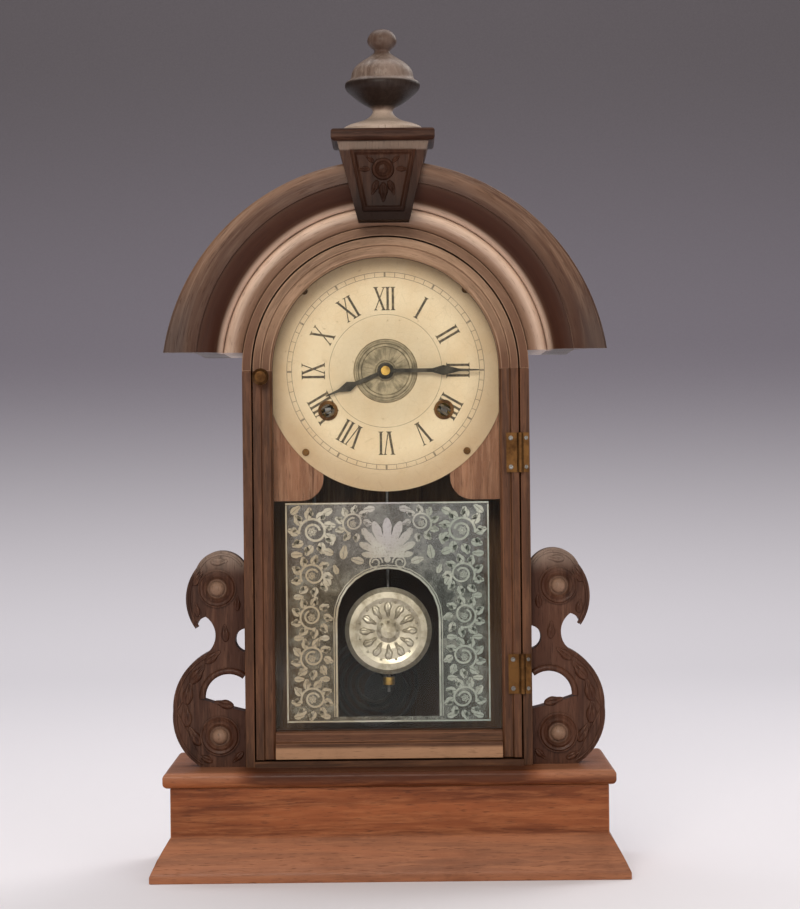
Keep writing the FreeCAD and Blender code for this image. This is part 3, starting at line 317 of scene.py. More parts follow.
# Finishes of the clock
BASE = (shade(0.35, 0.17, 0.08), shade(0.54, 0.30, 0.17), shade(0.64, 0.40, 0.25))
CASE = (shade(0.20, 0.12, 0.07), shade(0.35, 0.22, 0.15), shade(0.46, 0.31, 0.21))
RING = (shade(0.38, 0.28, 0.21), shade(0.58, 0.46, 0.36), shade(0.68, 0.55, 0.45))
CARVED = (shade(0.18, 0.095, 0.06), shade(0.30, 0.18, 0.125), shade(0.43, 0.30, 0.235))
DEEP = [deepened(tone, 0.7) for tone in CARVED]
HOOD = (shade(0.29, 0.18, 0.12), shade(0.45, 0.33, 0.25), shade(0.57, 0.46, 0.38))
PALE = (shade(0.49, 0.38, 0.31), shade(0.64, 0.53, 0.46), shade(0.75, 0.66, 0.59))
TURNED = (shade(0.34, 0.27, 0.23), shade(0.48, 0.41, 0.37), shade(0.58, 0.52, 0.47))
DEAL = (shade(0.34, 0.23, 0.15), shade(0.50, 0.36, 0.24), shade(0.60, 0.46, 0.32))
# The cheeks' wood, paler than the case: partly a light brown of its own, partly painted light against the
# shade of the door.
CHEEK_LIT = (shade(0.40, 0.25, 0.17), shade(0.62, 0.43, 0.32), shade(0.74, 0.56, 0.44))
# A pale tone for painted light: on the finial's foot, along the brackets' tops and on the keystone's head.
PALE_HIGHLIGHT = shade(0.69, 0.61, 0.55)
# Painted highlights on the crowns of the brackets' bosses.
BOSS_HIGHLIGHT = shade(0.58, 0.46, 0.38)
# Painted highlight and painted light on the base's foot and on the free ends of its top board.
FOOT_HIGHLIGHT = shade(0.66, 0.46, 0.35)
# A deep red-brown: painted shade in the hood's hollow, towards the hood's ends, on the top board in front of
# the case and where the brackets meet the case; it also darkens the finial's knob.
DEEP_RED_BROWN = shade(0.20, 0.085, 0.03)
# Painted shade: in the finial's cup, at the keystone's foot and inside the case.
DEEP_SHADE = shade(0.10, 0.05, 0.03)
HOOD_TIP_GREY = shade(0.21, 0.20, 0.205)


def cove_painted_shade(x, y, z, reach):
    """The hollow of the hood, inside the fascia, darkened as painted shade."""
    return reach.eased(0.1080, 0.1130) * (1 - reach.eased(0.118, 0.137))


def cove_lip_painted_highlight(x, y, z, reach):
    """The inner lip of the hood, lightened at the front to match the bead beside it: a painted highlight."""
    return (1 - reach.eased(0.1075, 0.1110)) * (1 - y.eased(-0.02, 0.0))


def bead_root_painted_shade(x, y, z, reach):
    """The bead, darker where it meets the case: painted shade."""
    return (1 - reach.eased(0.0955, 0.1025)) * 0.85


def bead_crown_painted_light(x, y, z, reach):
    """The bead, palest on its outer half and towards its top: painted light that makes up for the hood's
    shade.
    """
    return reach.eased(0.0985, 0.1045) * (0.5 + z.eased(0.015, 0.065) * 0.4)


def case_ring_stain(x, y, z, reach):
    """The bent top of the case, a little darker than the door."""
    return reach.eased(0.0865, 0.0885) * (0.75 - z.eased(0.02, 0.08) * 0.25)


def hood_end_painted_shade(x, y, z, reach):
    """The hood darkens towards its two lower ends: painted shade."""
    return (1 - z.eased(0.012, 0.10)) * 0.45


def hood_tip_greying(x, y, z, reach):
    """The outer corners of the hood, greyed towards their lower ends."""
    return reach.eased(0.125, 0.135) * (1 - z.eased(0.02, 0.07)) * 0.5


def cup_painted_shade(x, y, z, reach):
    """The cup of the finial, from its waist to its rim, darkened as painted shade."""
    return z.eased(0.1700, 0.1725) * (1 - z.eased(0.1866, 0.1891))


def finial_foot_painted_light(x, y, z, reach):
    """The foot of the finial, made pale: painted light where the cup shades it."""
    return (1 - z.eased(0.1680, 0.1705)) * 0.95


def finial_knob_darkening(x, y, z, reach):
    """The knob that crowns the finial, made darker brown."""
    return z.eased(0.2040, 0.2080) * 0.55


def sill_painted_highlight(x, y, z, reach):
    """The lower lip of the door's bottom rail, made pale: a painted highlight."""
    lip = z.eased(-0.2558, -0.2550) * (1 - z.eased(-0.2485, -0.2460))
    return lip * (1 - y.eased(-0.020, -0.014)) * 0.92


def ring_foot_stain(x, y, z, reach):
    """The bent rails, as dark as the uprights where they meet them."""
    return (1 - z.eased(0.0, 0.05)) * 0.85


def foot_painted_highlight(x, y, z, reach):
    """The foot of the base, made pale: a painted highlight."""
    return (1 - z.eased(-0.304, -0.300)) * 0.4


def slab_painted_shadow(x, y, z, reach):
    """The top board, darkest on its upper face in front of the case: a painted shadow of the case."""
    return z.eased(-0.272, -0.263) * (0.85 - abs(x).eased(0.084, 0.100) * 0.75)


def slab_end_painted_light(x, y, z, reach):
    """The free ends of the top board, made pale beside the brackets: painted light where the case casts no
    shadow.
    """
    return z.eased(-0.268, -0.262) * abs(x).eased(0.088, 0.104) * 0.5


def key_foot_painted_shade(x, y, z, reach):
    """The keystone, darkest at its narrow foot: painted shade."""
    return 1 - z.eased(0.095, 0.135) * 0.88


def key_head_painted_highlight(x, y, z, reach):
    """A pale band below the cap of the keystone: a painted highlight."""
    return z.eased(0.1405, 0.1420) * 0.3


BOSSES = ((0.1113, 0.2394), (0.1122, 0.1425))


def boss_painted_highlight(x, y, z, reach):
    """The crowns of the round bosses of the brackets, made pale: painted highlights."""
    low, high = (((abs(x) - out) ** 2.0 + (z + drop) ** 2.0) ** 0.5 for out, drop in BOSSES)
    return (1 - low.eased(0.003, 0.008) * high.eased(0.003, 0.008)) * (1 - y.eased(-0.016, -0.010)) * 0.7


def bracket_top_painted_light(x, y, z, reach):
    """The upper edge of a bracket, made pale: painted light from above."""
    return z.eased(-0.136, -0.120) * 0.45


def bracket_painted_shade(x, y, z, reach):
    """The brackets where they meet the case, darkened in the corner: painted shade."""
    return (1 - abs(x).eased(0.094, 0.111)) * 0.75


def inside_painted_shade(x, y, z, reach):
    """The inner face of the backboard, darkened as painted shade inside the case, most behind the window."""
    middle = (1 - abs(x).eased(0.036, 0.070)) * (1 - z.eased(-0.125, -0.085))
    return (1 - y.eased(0.0652, 0.0660)) * (0.2 + middle * 0.72)


# The foot and the free ends of the top board take painted highlight and painted light; the top board in front
# of the case takes a painted shadow.
base_wood = wood(
    "base_walnut_long", *BASE, run="X", gloss=0.4,
    toned=[(FOOT_HIGHLIGHT, foot_painted_highlight), (FOOT_HIGHLIGHT, slab_end_painted_light), (DEEP_RED_BROWN, slab_painted_shadow)],
)
side_wood = wood("case_walnut_upright", *CASE)
# The pale lip of the bottom rail is a painted highlight.
rail_wood = wood("case_walnut_crosswise", *CASE, run="X", toned=[(shade(0.66, 0.50, 0.38), sill_painted_highlight)])
arch_wood = wood(
    "case_walnut_bent", *RING, arch=True, toned=[(CASE[1], ring_foot_stain), (CASE[1], case_ring_stain)],
)
# The brackets take painted shade where they meet the case, painted light along their tops and painted
# highlights on their bosses.
carved_wood = wood(
    "carved_walnut", *CARVED, depth=0.35,
    toned=[(DEEP_RED_BROWN, bracket_painted_shade), (PALE_HIGHLIGHT, bracket_top_painted_light), (BOSS_HIGHLIGHT, boss_painted_highlight)],
)
# The keystone takes painted shade at its foot and a painted highlight below its cap.
key_wood = wood(
    "keystone_walnut", *DEEP, gloss=0.5, shine=0.06,
    toned=[(DEEP_SHADE, key_foot_painted_shade), (PALE_HIGHLIGHT, key_head_painted_highlight)],
)
cap_wood = wood("cap_walnut", *DEEP, run="X", gloss=0.5, shine=0.06)
# The hood takes painted shade in its hollow and towards its ends, and a painted highlight on its inner lip.
hood_wood = wood(
    "hood_walnut_bent", *HOOD, arch=True, gloss=0.42,
    toned=[
        (DEEP_RED_BROWN, hood_end_painted_shade), (HOOD_TIP_GREY, hood_tip_greying), (DEEP_RED_BROWN, cove_painted_shade),
        (shade(0.82, 0.71, 0.63), cove_lip_painted_highlight),
    ],
)
# The bead takes painted shade at its root and painted light on its outer half and towards its top.
pale_wood = wood(
    "bead_maple_bent", *PALE, arch=True, gloss=0.36, depth=0.15,
    toned=[(shade(0.46, 0.34, 0.26), bead_root_painted_shade), (shade(0.85, 0.75, 0.67), bead_crown_painted_light)],
)
# The finial takes painted light on its foot and painted shade in its cup.
finial_wood = wood(
    "finial_turned", *TURNED,
    toned=[(PALE_HIGHLIGHT, finial_foot_painted_light), (DEEP_RED_BROWN, finial_knob_darkening), (DEEP_SHADE, cup_painted_shade)],
)
# The backboard's inner face takes painted shade.
deal_wood = wood("backboard_deal", *DEAL, gloss=0.7, toned=[(DEEP_SHADE, inside_painted_shade)])
cheek_wood = wood("dial_cheek_wood", *CHEEK_LIT, gloss=0.5)
brass = metal("aged_brass", shade(0.78, 0.63, 0.33), shade(0.40, 0.29, 0.14), 0.28)
old_brass = metal("browned_brass", shade(0.40, 0.28, 0.16), shade(0.21, 0.13, 0.08), 0.42)
bob_brass = metal("pressed_pale_brass", shade(0.78, 0.74, 0.66), shade(0.50, 0.45, 0.36), 0.36, 0.8)
steel = metal("old_steel", shade(0.48, 0.47, 0.46), shade(0.22, 0.19, 0.17), 0.36)
gong_steel = metal("browned_gong_wire", shade(0.19, 0.15, 0.12), shade(0.10, 0.075, 0.06), 0.62, 0.4)
hand_steel = metal("blackened_steel", shade(0.27, 0.24, 0.19), shade(0.14, 0.12, 0.09), 0.5, 0.5)
iron = metal("japanned_iron", shade(0.16, 0.14, 0.13), shade(0.08, 0.07, 0.06), 0.5, 0.5)
centre_metal = metal(
    "dial_centre_pewter", shade(0.60, 0.54, 0.43), shade(0.40, 0.36, 0.28), 0.42, 0.55, 160.0,
)
paint = dial_paint()
ink = printed_ink()
silver = stencil_silver()
ground_wash = stencil_ground()
glass = pane_glass()

WEARS = {
    base_wood: ("base_boards", "base_top_board", "foot_mouldings"),
    side_wood: ("case_side_left", "case_side_right", "door_stile_left", "door_stile_right"),
    cheek_wood: ("dial_blocks",),
    rail_wood: ("case_floor", "door_bottom_rail", "movement_blocks", "glass_beads"),
    arch_wood: ("case_arch_shell", "door_arch_rail"),
    carved_wood: ("bracket_left", "bracket_right"),
    key_wood: ("keystone",),
    cap_wood: ("keystone_cap",),
    hood_wood: ("hood_left", "hood_right"),
    pale_wood: ("arch_bead",),
    finial_wood: ("finial",),
    deal_wood: ("backboard",),
    paint: ("dial",),
    bob_brass: ("pendulum_bob",),
    old_brass: (
        "case_hinge_leaves", "door_hinge_leaves", "latch_knob", "latch_catch",
        "winding_eyelets", "dial_screws",
    ),
    steel: (
        "mainsprings", "time_winding_arbor", "strike_winding_arbor", "verge", "pendulum_rod", "hammer",
        "gong_coil",
    ),
    hand_steel: ("hour_hand", "minute_hand"),
    iron: ("gong_base",),
    glass: ("door_glass",),
}
worn_by = {node: finish for finish, nodes in WEARS.items() for node in nodes}


def dressed(piece, *finishes):
    piece.data.materials.clear()
    for finish in finishes:
        piece.data.materials.append(finish)


for node, part in frame["nodes"].items():
    dressed(part, worn_by.get(node, brass))


# Bench work: adding, choosing, joining and settling pieces
def leave():
    if bpy.context.mode != "OBJECT":
        bpy.ops.object.mode_set(mode="OBJECT")


def only(*pieces):
    leave()
    bpy.ops.object.select_all(action="DESELECT")
    for piece in pieces:
        piece.select_set(True)
    bpy.context.view_layer.objects.active = pieces[0]


def begin(add, **sizes):
    """Adds a primitive with nothing else selected."""
    leave()
    bpy.ops.object.select_all(action="DESELECT")
    add(**sizes)
    return bpy.context.object


def choose(piece, kind, wanted=lambda part: True):
    """In edit mode, selects those corners, edges or faces of a piece that are wanted."""
    bpy.ops.object.mode_set(mode="EDIT")
    bpy.ops.mesh.select_mode(type=kind)
    bpy.ops.mesh.select_all(action="DESELECT")
    work = bmesh.from_edit_mesh(piece.data)
    for part in {"VERT": work.verts, "EDGE": work.edges, "FACE": work.faces}[kind]:
        if wanted(part):
            part.select_set(True)
    work.select_flush_mode()
    bmesh.update_edit_mesh(piece.data)


def corners(piece, wanted):
    """Selects those corners of a piece whose place is wanted."""
    choose(piece, "VERT", lambda corner: wanted(corner.co))


def choose_all(piece):
    only(piece)
    bpy.ops.object.mode_set(mode="EDIT")
    bpy.ops.mesh.select_all(action="SELECT")


def fixed(piece):
    """Applies a piece's place, turn and size to its mesh."""
    only(piece)
    bpy.ops.object.transform_apply(location=True, rotation=True, scale=True)
    return piece


def shifted(x, y, z):
    bpy.ops.transform.translate(value=(x, y, z))


def stretched(x, y, z, about=(0, 0, 0)):
    bpy.ops.transform.resize(value=(x, y, z), center_override=about)


def drawn(x, y, z):
    """Draws the chosen edges out, with new faces behind them."""
    bpy.ops.mesh.extrude_edges_move(TRANSFORM_OT_translate={"value": (x, y, z)})


def sized(piece, x, y, z):
    """Stretches a fresh primitive to its size."""
    only(piece)
    stretched(x, y, z)
    return fixed(piece)


def circle(sides, radius, **more):
    return begin(bpy.ops.mesh.primitive_circle_add, vertices=sides, radius=radius, **more)


def ball(segments, rings, radius):
    return begin(bpy.ops.mesh.primitive_uv_sphere_add, segments=segments, ring_count=rings, radius=radius)


def block(x, y, z):
    return sized(begin(bpy.ops.mesh.primitive_cube_add, size=1.0), x, y, z)


def sheet(x, y):
    return sized(begin(bpy.ops.mesh.primitive_plane_add, size=1.0), x, y, 1)


def joined(pieces):
    only(*pieces)
    if len(pieces) > 1:
        bpy.ops.object.join()
    return bpy.context.object


def altered(piece, kind, **settings):
    """Adds a modifier and applies it."""
    only(piece)
    change = piece.modifiers.new(kind.lower(), kind)
    for key, value in settings.items():
        setattr(change, key, value)
    bpy.ops.object.modifier_apply(modifier=change.name)
    return piece


def bevelled(piece, width, angle, **more):
    """Rounds the edges of a piece that are sharper than an angle."""
    sharp = {"limit_method": "ANGLE", "angle_limit": radians(angle)}
    return altered(piece, "BEVEL", width=width, segments=2, **sharp, **more)


def thickened(piece, thick, offset=1.0):
    return altered(piece, "SOLIDIFY", thickness=thick, offset=offset)


def mirrored(piece, x=True):
    """Adds a piece's mirror image across X, or else across Y."""
    return altered(piece, "MIRROR", use_axis=(x, not x, False), use_mirror_merge=False)


def cut(piece, cutter):
    """Cuts away from a piece what a cutter fills."""
    fixed(cutter)
    altered(piece, "BOOLEAN", object=cutter, operation="DIFFERENCE", solver="EXACT")
    bpy.data.objects.remove(cutter)


def copied(piece):
    """A copy of a piece with its own mesh."""
    copy = piece.copy()
    copy.data = piece.data.copy()
    bpy.context.collection.objects.link(copy)
    return copy


def loose(node):
    """A free copy of a CAD piece, with its facets merged into whole faces."""
    piece = copied(frame["nodes"][node])
    piece.parent = None
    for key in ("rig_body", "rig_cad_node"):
        del piece[key]
    choose_all(piece)
    bpy.ops.mesh.remove_doubles(threshold=0.002 * MM)
    bpy.ops.mesh.dissolve_limited(angle_limit=radians(0.5))
    leave()
    return piece


def scattered(motif, places):
    """Copies a motif to each place and joins the copies."""
    made = []
    for place in places:
        copy = copied(motif)
        copy.matrix_world = place
        made.append(copy)
    bpy.data.objects.remove(motif)
    return joined(made)


def spun(angle, centre, axis, steps):
    """Carries the chosen edges round an axis, anticlockwise seen from its point. Spin turns the other way."""
    bpy.ops.mesh.spin(steps=steps, angle=-angle, center=centre, axis=axis)


def outward(piece):
    """Turns every face of a closed piece to point outwards."""
    choose_all(piece)
    bpy.ops.mesh.remove_doubles(threshold=0.0005 * MM)
    bpy.ops.mesh.normals_make_consistent(inside=False)
    leave()
    return piece


def capped(piece):
    """Closes the open ends of a swept piece."""
    choose(piece, "EDGE", lambda edge: edge.is_boundary)
    bpy.ops.mesh.fill()
    return outward(piece)


def settled(piece, name, body, finish, smooth=35.0):
    """Applies a piece's place, gives it its finish and hands it to the body that it moves with."""
    fixed(piece)
    bpy.ops.object.shade_smooth_by_angle(angle=radians(smooth))
    altered(piece, "WEIGHTED_NORMAL", keep_sharp=True)
    piece.name = name
    piece.data.name = name
    dressed(piece, finish)
    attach(piece, body)


UPRIGHT = Matrix.Rotation(pi / 2, 4, "X")


def facing(x, y, z, turn=0.0, size=1.0):
    """Stands a motif drawn in the XY plane so that it faces the front, turned clockwise."""
    stand = Matrix.Translation((x, y, z)) @ Matrix.Rotation(turn, 4, "Y") @ UPRIGHT
    return stand @ Matrix.Scale(size, 4)


# Corners of the woodwork rubbed round by a century of dusting
def softened(node, width, body="case"):
    """Rounds the corners of a CAD piece and marks them as rubbed, by way of a second slot."""
    finish = worn_by[node]
    piece = loose(node)
    dressed(piece, finish, finish)
    bevelled(piece, width, 40, material=1, miter_outer="MITER_ARC", use_clamp_overlap=True)
    choose(piece, "EDGE", lambda edge: len(edge.link_faces) > 2)
    bpy.ops.mesh.mark_sharp()
    leave()
    rub = piece.data.attributes.new("rub", "FLOAT", "FACE")
    for face in piece.data.polygons:
        rub.data[face.index].value = float(face.material_index)
        face.material_index = 0
    settled(piece, node + "_rubbed", body, finish)
    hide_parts(node)


for width, slot, nodes in (
    (0.8, "base_walnut", ("base_boards",)),
    (0.6, "base_walnut", ("foot_mouldings",)),
    (0.5, "case_walnut", ("case_side_left", "case_side_right", "case_arch_shell")),
    (0.5, "hood_walnut", ("hood_left", "hood_right")),
    (0.5, "carved_walnut", ("bracket_left", "bracket_right")),
):
    for node in nodes:
        softened(node, width * MM)
for node in ("door_stile_left", "door_stile_right", "door_arch_rail", "door_bottom_rail"):
    softened(node, 0.45 * MM, "door")

# Printed numerals of the dial
NUMERAL = 15.5 * MM
NUMERAL_AT = 48.0 * MM
SERIF = 0.9 * MM
SERIF_REACH = 1.0 * MM
INK_THICK = 0.1 * MM


def stroke(width, top, foot, lift=0.0):
    """One stroke of a numeral, with a serif at each end."""
    piece = sheet(width, NUMERAL - 2 * SERIF)
    for end, shift in ((1, top), (-1, foot)):
        corners(piece, lambda at: at.y * end > 0)
        shifted(shift, 0, lift)
        choose(piece, "EDGE", lambda edge: all(corner.co.y * end > 0 for corner in edge.verts))
        drawn(0, end * SERIF, 0)
        stretched(1 + 2 * SERIF_REACH / width, 1, 1, (shift, 0, 0))
    leave()
    return piece


def letter(*strokes):
    return thickened(joined([stroke(*one) for one in strokes]), INK_THICK)


THICK = 1.6 * MM
THIN = 0.7 * MM
LEAN = 2.6 * MM
OVERLAP = 0.03 * MM
NARROW = 3.5 * MM
WIDE = 7.2 * MM
letters = {
    "I": (letter((THICK, 0, 0)), NARROW),
    "V": (letter((THICK, -LEAN, -0.3 * MM), (THIN, LEAN, 0.6 * MM, OVERLAP)), WIDE),
    "X": (letter((THICK, -LEAN, LEAN), (THIN, LEAN, -LEAN, OVERLAP)), WIDE),
}
spots = {sign: [] for sign in letters}
HOURS = ("I", "II", "III", "IIII", "V", "VI", "VII", "VIII", "IX", "X", "XI", "XII")
for number, word in enumerate(HOURS, 1):
    middle = Matrix.Translation((HEART.x, DIAL_FACE - 0.02 * MM, HEART.z))
    spin = middle @ Matrix.Rotation(number * pi / 6, 4, "Y")
    across = -sum(letters[sign][1] for sign in word) / 2
    for sign in word:
        across += letters[sign][1] / 2
        spots[sign].append(spin @ (Matrix.Translation((across, 0, NUMERAL_AT)) @ UPRIGHT))
        across += letters[sign][1] / 2
numerals = joined([scattered(letters[sign][0], spots[sign]) for sign in letters])
settled(numerals, "dial_numerals", "case", ink, 30)


# Pressed centre of the dial: a moulded rim round a fluted sunburst
def ringed(sides, rings):
    """A turned shape: a loop of edges drawn out through rings of (radius, height) in mm."""
    radius, height = rings[0]
    piece = circle(sides, radius * MM)
    choose(piece, "EDGE")
    shifted(0, 0, height * MM)
    for next_radius, next_height in rings[1:]:
        drawn(0, 0, (next_height - height) * MM)
        grow = next_radius / radius
        stretched(grow, grow, 1, (0, 0, next_height * MM))
        radius, height = next_radius, next_height
    leave()
    return piece


RAYS = 72
PRESSED_THICK = 0.12 * MM
centre = ringed(RAYS, [
    (4.4, 0.05), (4.9, 0.9), (6.2, 0.9), (7.0, 0.2), (7.6, 0.2), (15.8, 0.3),
    (16.3, 0.95), (17.8, 0.95), (18.5, 0.35), (19.4, 0.35), (19.8, 0.7), (20.7, 0.6), (21.3, -0.5),
])


def ray(face):
    """Every third face of the flat ring between the two rims."""
    middle = face.calc_center_median()
    step = int((atan2(middle.y, middle.x) / (2 * pi) + 1) * RAYS)
    return 8 * MM < hypot(middle.x, middle.y) < 15 * MM and step % 3 == 0


choose(centre, "FACE", ray)
bpy.ops.mesh.inset(thickness=0.12 * MM, use_individual=True)
shifted(0, 0, 0.6 * MM)
outward(centre)
thickened(centre, PRESSED_THICK, -1.0)
centre.matrix_world = facing(HEART.x, DIAL_BOSS - PRESSED_THICK, HEART.z)
settled(centre, "dial_centre_sunburst", "case", centre_metal)

# Stencilled lower half of the pane, in mm: scrolls, leaves and flowers round a clear window
TABLET_FOOT = 98.4
TABLET_TOP = 243.0
TABLET_HALF = 67.0
WINDOW_HALF = 33.4
WINDOW_FOOT = 102.0
WINDOW_SPRING = 166.0
LEAF_THICK = 0.1 * MM
STENCIL_BACK = PANE_BACK + 0.14 * MM


def flat_leaf(length, width):
    """Half of a leaf, cut straight along its vein, then mirrored across a narrow slit."""
    piece = circle(20, 0.5, fill_type="NGON")
    sized(piece, length * MM, width * MM, 1)
    choose_all(piece)
    bpy.ops.mesh.bisect(plane_co=(0, 0, 0), plane_no=(0, 1, 0), clear_inner=True)
    corners(piece, lambda at: at.x > length * 0.1 * MM and at.y > 0.01 * MM)
    stretched(1, 0.72, 1)
    choose_all(piece)
    shifted(length / 2 * MM, 0.2 * MM, 0)
    leave()
    return thickened(mirrored(piece, False), LEAF_THICK)


def flat_lobe(length, width):
    """A lobe of a shell: round at its end and drawn to a point at its root."""
    piece = circle(32, 0.5, fill_type="NGON")
    sized(piece, length * MM, width * MM, 1)
    corners(piece, lambda at: at.x > length * 0.22 * MM)
    stretched(1, 1.25, 1)
    for reach, pinch in ((0.12, 0.9), (0.0, 0.8), (-0.15, 0.7), (-0.3, 0.6)):
        corners(piece, lambda at: at.x < length * reach * MM)
        stretched(1, pinch, 1)
    choose_all(piece)
    shifted(length / 2 * MM, 0, 0)
    leave()
    return thickened(piece, LEAF_THICK)


def raised(piece, rim):
    """Thickens a flat motif and lifts its middle, inside a rim."""
    choose(piece, "FACE")
    bpy.ops.mesh.inset(thickness=rim)
    shifted(0, 0, 0.03 * MM)
    leave()
    return thickened(piece, LEAF_THICK)


def dot(radius):
    return raised(circle(12, radius * MM, fill_type="NGON"), radius * 0.3 * MM)


def ribbon(width, start, arcs):
    """A flat strip carried round arcs of (centre across, angle), from an edge across its start."""
    piece = begin(bpy.ops.mesh.primitive_plane_add, size=1.0)
    corners(piece, lambda at: at.y > 0)
    bpy.ops.mesh.delete(type="VERT")
    choose(piece, "EDGE")
    stretched(width * MM, 1, 1, (0, -0.5, 0))
    shifted(start * MM, 0.5, 0)
    for middle, angle in arcs:
        spun(angle, (middle * MM, 0, 0), (0, 0, 1), max(3, int(abs(angle) / radians(12))))
    choose_all(piece)
    bpy.ops.mesh.normals_make_consistent(inside=False)
    leave()
    return thickened(piece, LEAF_THICK, 0.0)


def volute(radius, width):
    """A scroll of half turns that shrink towards its eye at the origin."""
    arcs = []
    middle, reach, side = 0.0, radius, 1
    for number in range(3):
        arcs.append((middle, pi))
        step = reach * 0.26
        middle -= side * step
        reach -= step
        side = -side
    return ribbon(width, radius, arcs)


def flat_ring(motif, count, out, slant=0.0, start=0.0):
    """Copies of a flat motif round the origin, each pointing outwards and slanted."""
    lean = Matrix.Rotation(radians(slant), 4, "Z")
    places = []
    for number in range(count):
        turn = Matrix.Rotation(radians(360.0 * number / count + start), 4, "Z")
        places.append(turn @ Matrix.Translation((out * MM, 0, 0)) @ lean)
    return scattered(motif, places)


def spray():
    """A flower in the eye of a scroll, with leaves thrown outwards all round."""
    return fixed(joined([
        volute(8.6, 1.5),
        flat_ring(flat_leaf(8.0, 5.2), 9, 9.2, 34.0),
        flat_ring(flat_leaf(4.4, 2.8), 9, 10.6, -30.0, 22.0),
        flat_ring(flat_leaf(2.2, 1.5), 6, 1.0),
        dot(0.9),
    ]))


def on_pane(x, z, turn=0.0, size=1.0):
    return facing(x * MM, STENCIL_BACK, z * MM, radians(turn), size)


sprays = scattered(spray(), [on_pane(*row) for row in (
    (50.3, 113.5, 20, 0.86), (50.3, 140.5, 65, 0.86), (50.3, 167.5, 110, 0.86), (50.0, 195.0, 30, 0.86),
    (49.5, 224.0, 10, 0.98), (22.5, 229.0, 75, 0.76),
)])
corner_leaves = scattered(flat_leaf(11.0, 6.0), [on_pane(*row) for row in (
    (38.6, 127.0, 0, 0.62), (62.2, 127.0, 180, 0.62), (38.6, 154.0, 0, 0.62), (62.2, 154.0, 180, 0.62),
    (62.2, 181.2, 180, 0.62), (63.6, 209.0, 180, 0.72), (35.6, 209.5, -20, 0.8), (63.4, 236.0, -140, 0.72),
    (36.0, 238.6, 25, 0.8), (35.5, 222.5, 80, 0.7), (29.5, 205.8, -100, 0.85), (8.0, 239.2, 8, 0.7),
    (38.0, 188.5, -60, 0.8), (38.4, 101.8, -12, 0.62), (62.4, 101.8, -168, 0.62), (15.5, 203.8, -15, 0.8),
    (33.0, 196.0, -70, 0.6),
)])
both_halves = mirrored(fixed(joined([sprays, corner_leaves])))
shell = joined([
    scattered(flat_lobe(26.0, 6.0), [on_pane(0, 207.0, lean - 90, size) for lean, size in (
        (0, 1.0), (21, 0.97), (-21, 0.97), (42, 0.9), (-42, 0.9), (63, 0.8), (-63, 0.8),
        (83, 0.66), (-83, 0.66),
    )]),
    scattered(volute(4.2, 1.0), [on_pane(-7.5, 203.2), on_pane(7.5, 203.2) @ Matrix.Scale(-1, 4, (1, 0, 0))]),
    scattered(dot(2.2), [on_pane(0, 205.5)]),
])
outward(fixed(shell))


def strip(x0, x1, z0, z1):
    """A straight painted line with a thicker middle."""
    piece = raised(sheet((x1 - x0) * MM, (z1 - z0) * MM), min(x1 - x0, z1 - z0) * 0.3 * MM)
    piece.matrix_world = on_pane((x0 + x1) / 2, (z0 + z1) / 2)
    return piece


def arch_line(inner, outer):
    """A line round the clear window: half a circle with a leg down each side."""
    over = ribbon(outer - inner, (inner + outer) / 2, [(0.0, pi)])
    over.matrix_world = on_pane(0, WINDOW_SPRING)
    legs = [strip(*sides, WINDOW_FOOT, WINDOW_SPRING) for sides in ((inner, outer), (-outer, -inner))]
    return [over] + legs


lines = arch_line(WINDOW_HALF, WINDOW_HALF + 1.3) + arch_line(WINDOW_HALF + 2.0, WINDOW_HALF + 2.6) + [
    strip(-TABLET_HALF, TABLET_HALF, TABLET_FOOT, TABLET_FOOT + 1.0),
    strip(-TABLET_HALF, TABLET_HALF, TABLET_TOP - 1.0, TABLET_TOP),
    strip(-TABLET_HALF, -TABLET_HALF + 1.0, TABLET_FOOT + 1.5, TABLET_TOP - 1.5),
    strip(TABLET_HALF - 1.0, TABLET_HALF, TABLET_FOOT + 1.5, TABLET_TOP - 1.5),
]
settled(joined([both_halves, shell] + lines), "pane_stencil", "door", silver, 30)

ground = block(2 * TABLET_HALF * MM, 0.06 * MM, (TABLET_TOP - TABLET_FOOT) * MM)
ground.location = (0, PANE_BACK + 0.3 * MM, (TABLET_TOP + TABLET_FOOT) / 2 * MM)
fixed(ground)
cut(ground, begin(
    bpy.ops.mesh.primitive_cylinder_add, vertices=72, radius=WINDOW_HALF * MM, depth=4 * MM,
    rotation=(pi / 2, 0, 0), location=(0, PANE_BACK, WINDOW_SPRING * MM),
))
square_foot = block(2 * WINDOW_HALF * MM, 4 * MM, (WINDOW_SPRING - WINDOW_FOOT) * MM)
square_foot.location = (0, PANE_BACK, (WINDOW_SPRING + WINDOW_FOOT) / 2 * MM)
cut(ground, square_foot)
settled(ground, "pane_frosted_ground", "door", ground_wash, 30)


# Pressed face of the pendulum bob
def petal(length, width, rise):
    """A pressed drop, narrow at its root and hollowed along its middle."""
    piece = ball(16, 10, 0.5)
    sized(piece, length * MM, width * MM, rise * 2 * MM)
    corners(piece, lambda at: at.x < 0)
    stretched(1, 0.55, 1)
    corners(piece, lambda at: abs(at.y) < width * 0.06 * MM and at.z > 0)
    shifted(0, 0, -rise * 0.3 * MM)
    leave()
    return piece


def bead(radius):
    piece = ball(10, 6, radius * MM)
    corners(piece, lambda at: at.z > radius * 0.6 * MM)
    stretched(0.8, 0.8, 1)
    leave()
    return piece


bob_face = joined([
    flat_ring(petal(11.0, 5.8, 1.4), 12, 14.2),
    flat_ring(bead(1.0), 12, 19.6, 0, 15.0),
    flat_ring(bead(0.8), 44, 24.2),
    flat_ring(petal(4.6, 2.6, 1.2), 8, 4.8),
])
bob_face.matrix_world = facing(BOB.x, BOB_LOW.y + 1.3 * MM, BOB.z) @ bob_face.matrix_world
settled(bob_face, "bob_pressed_rosette", "pendulum", bob_brass)


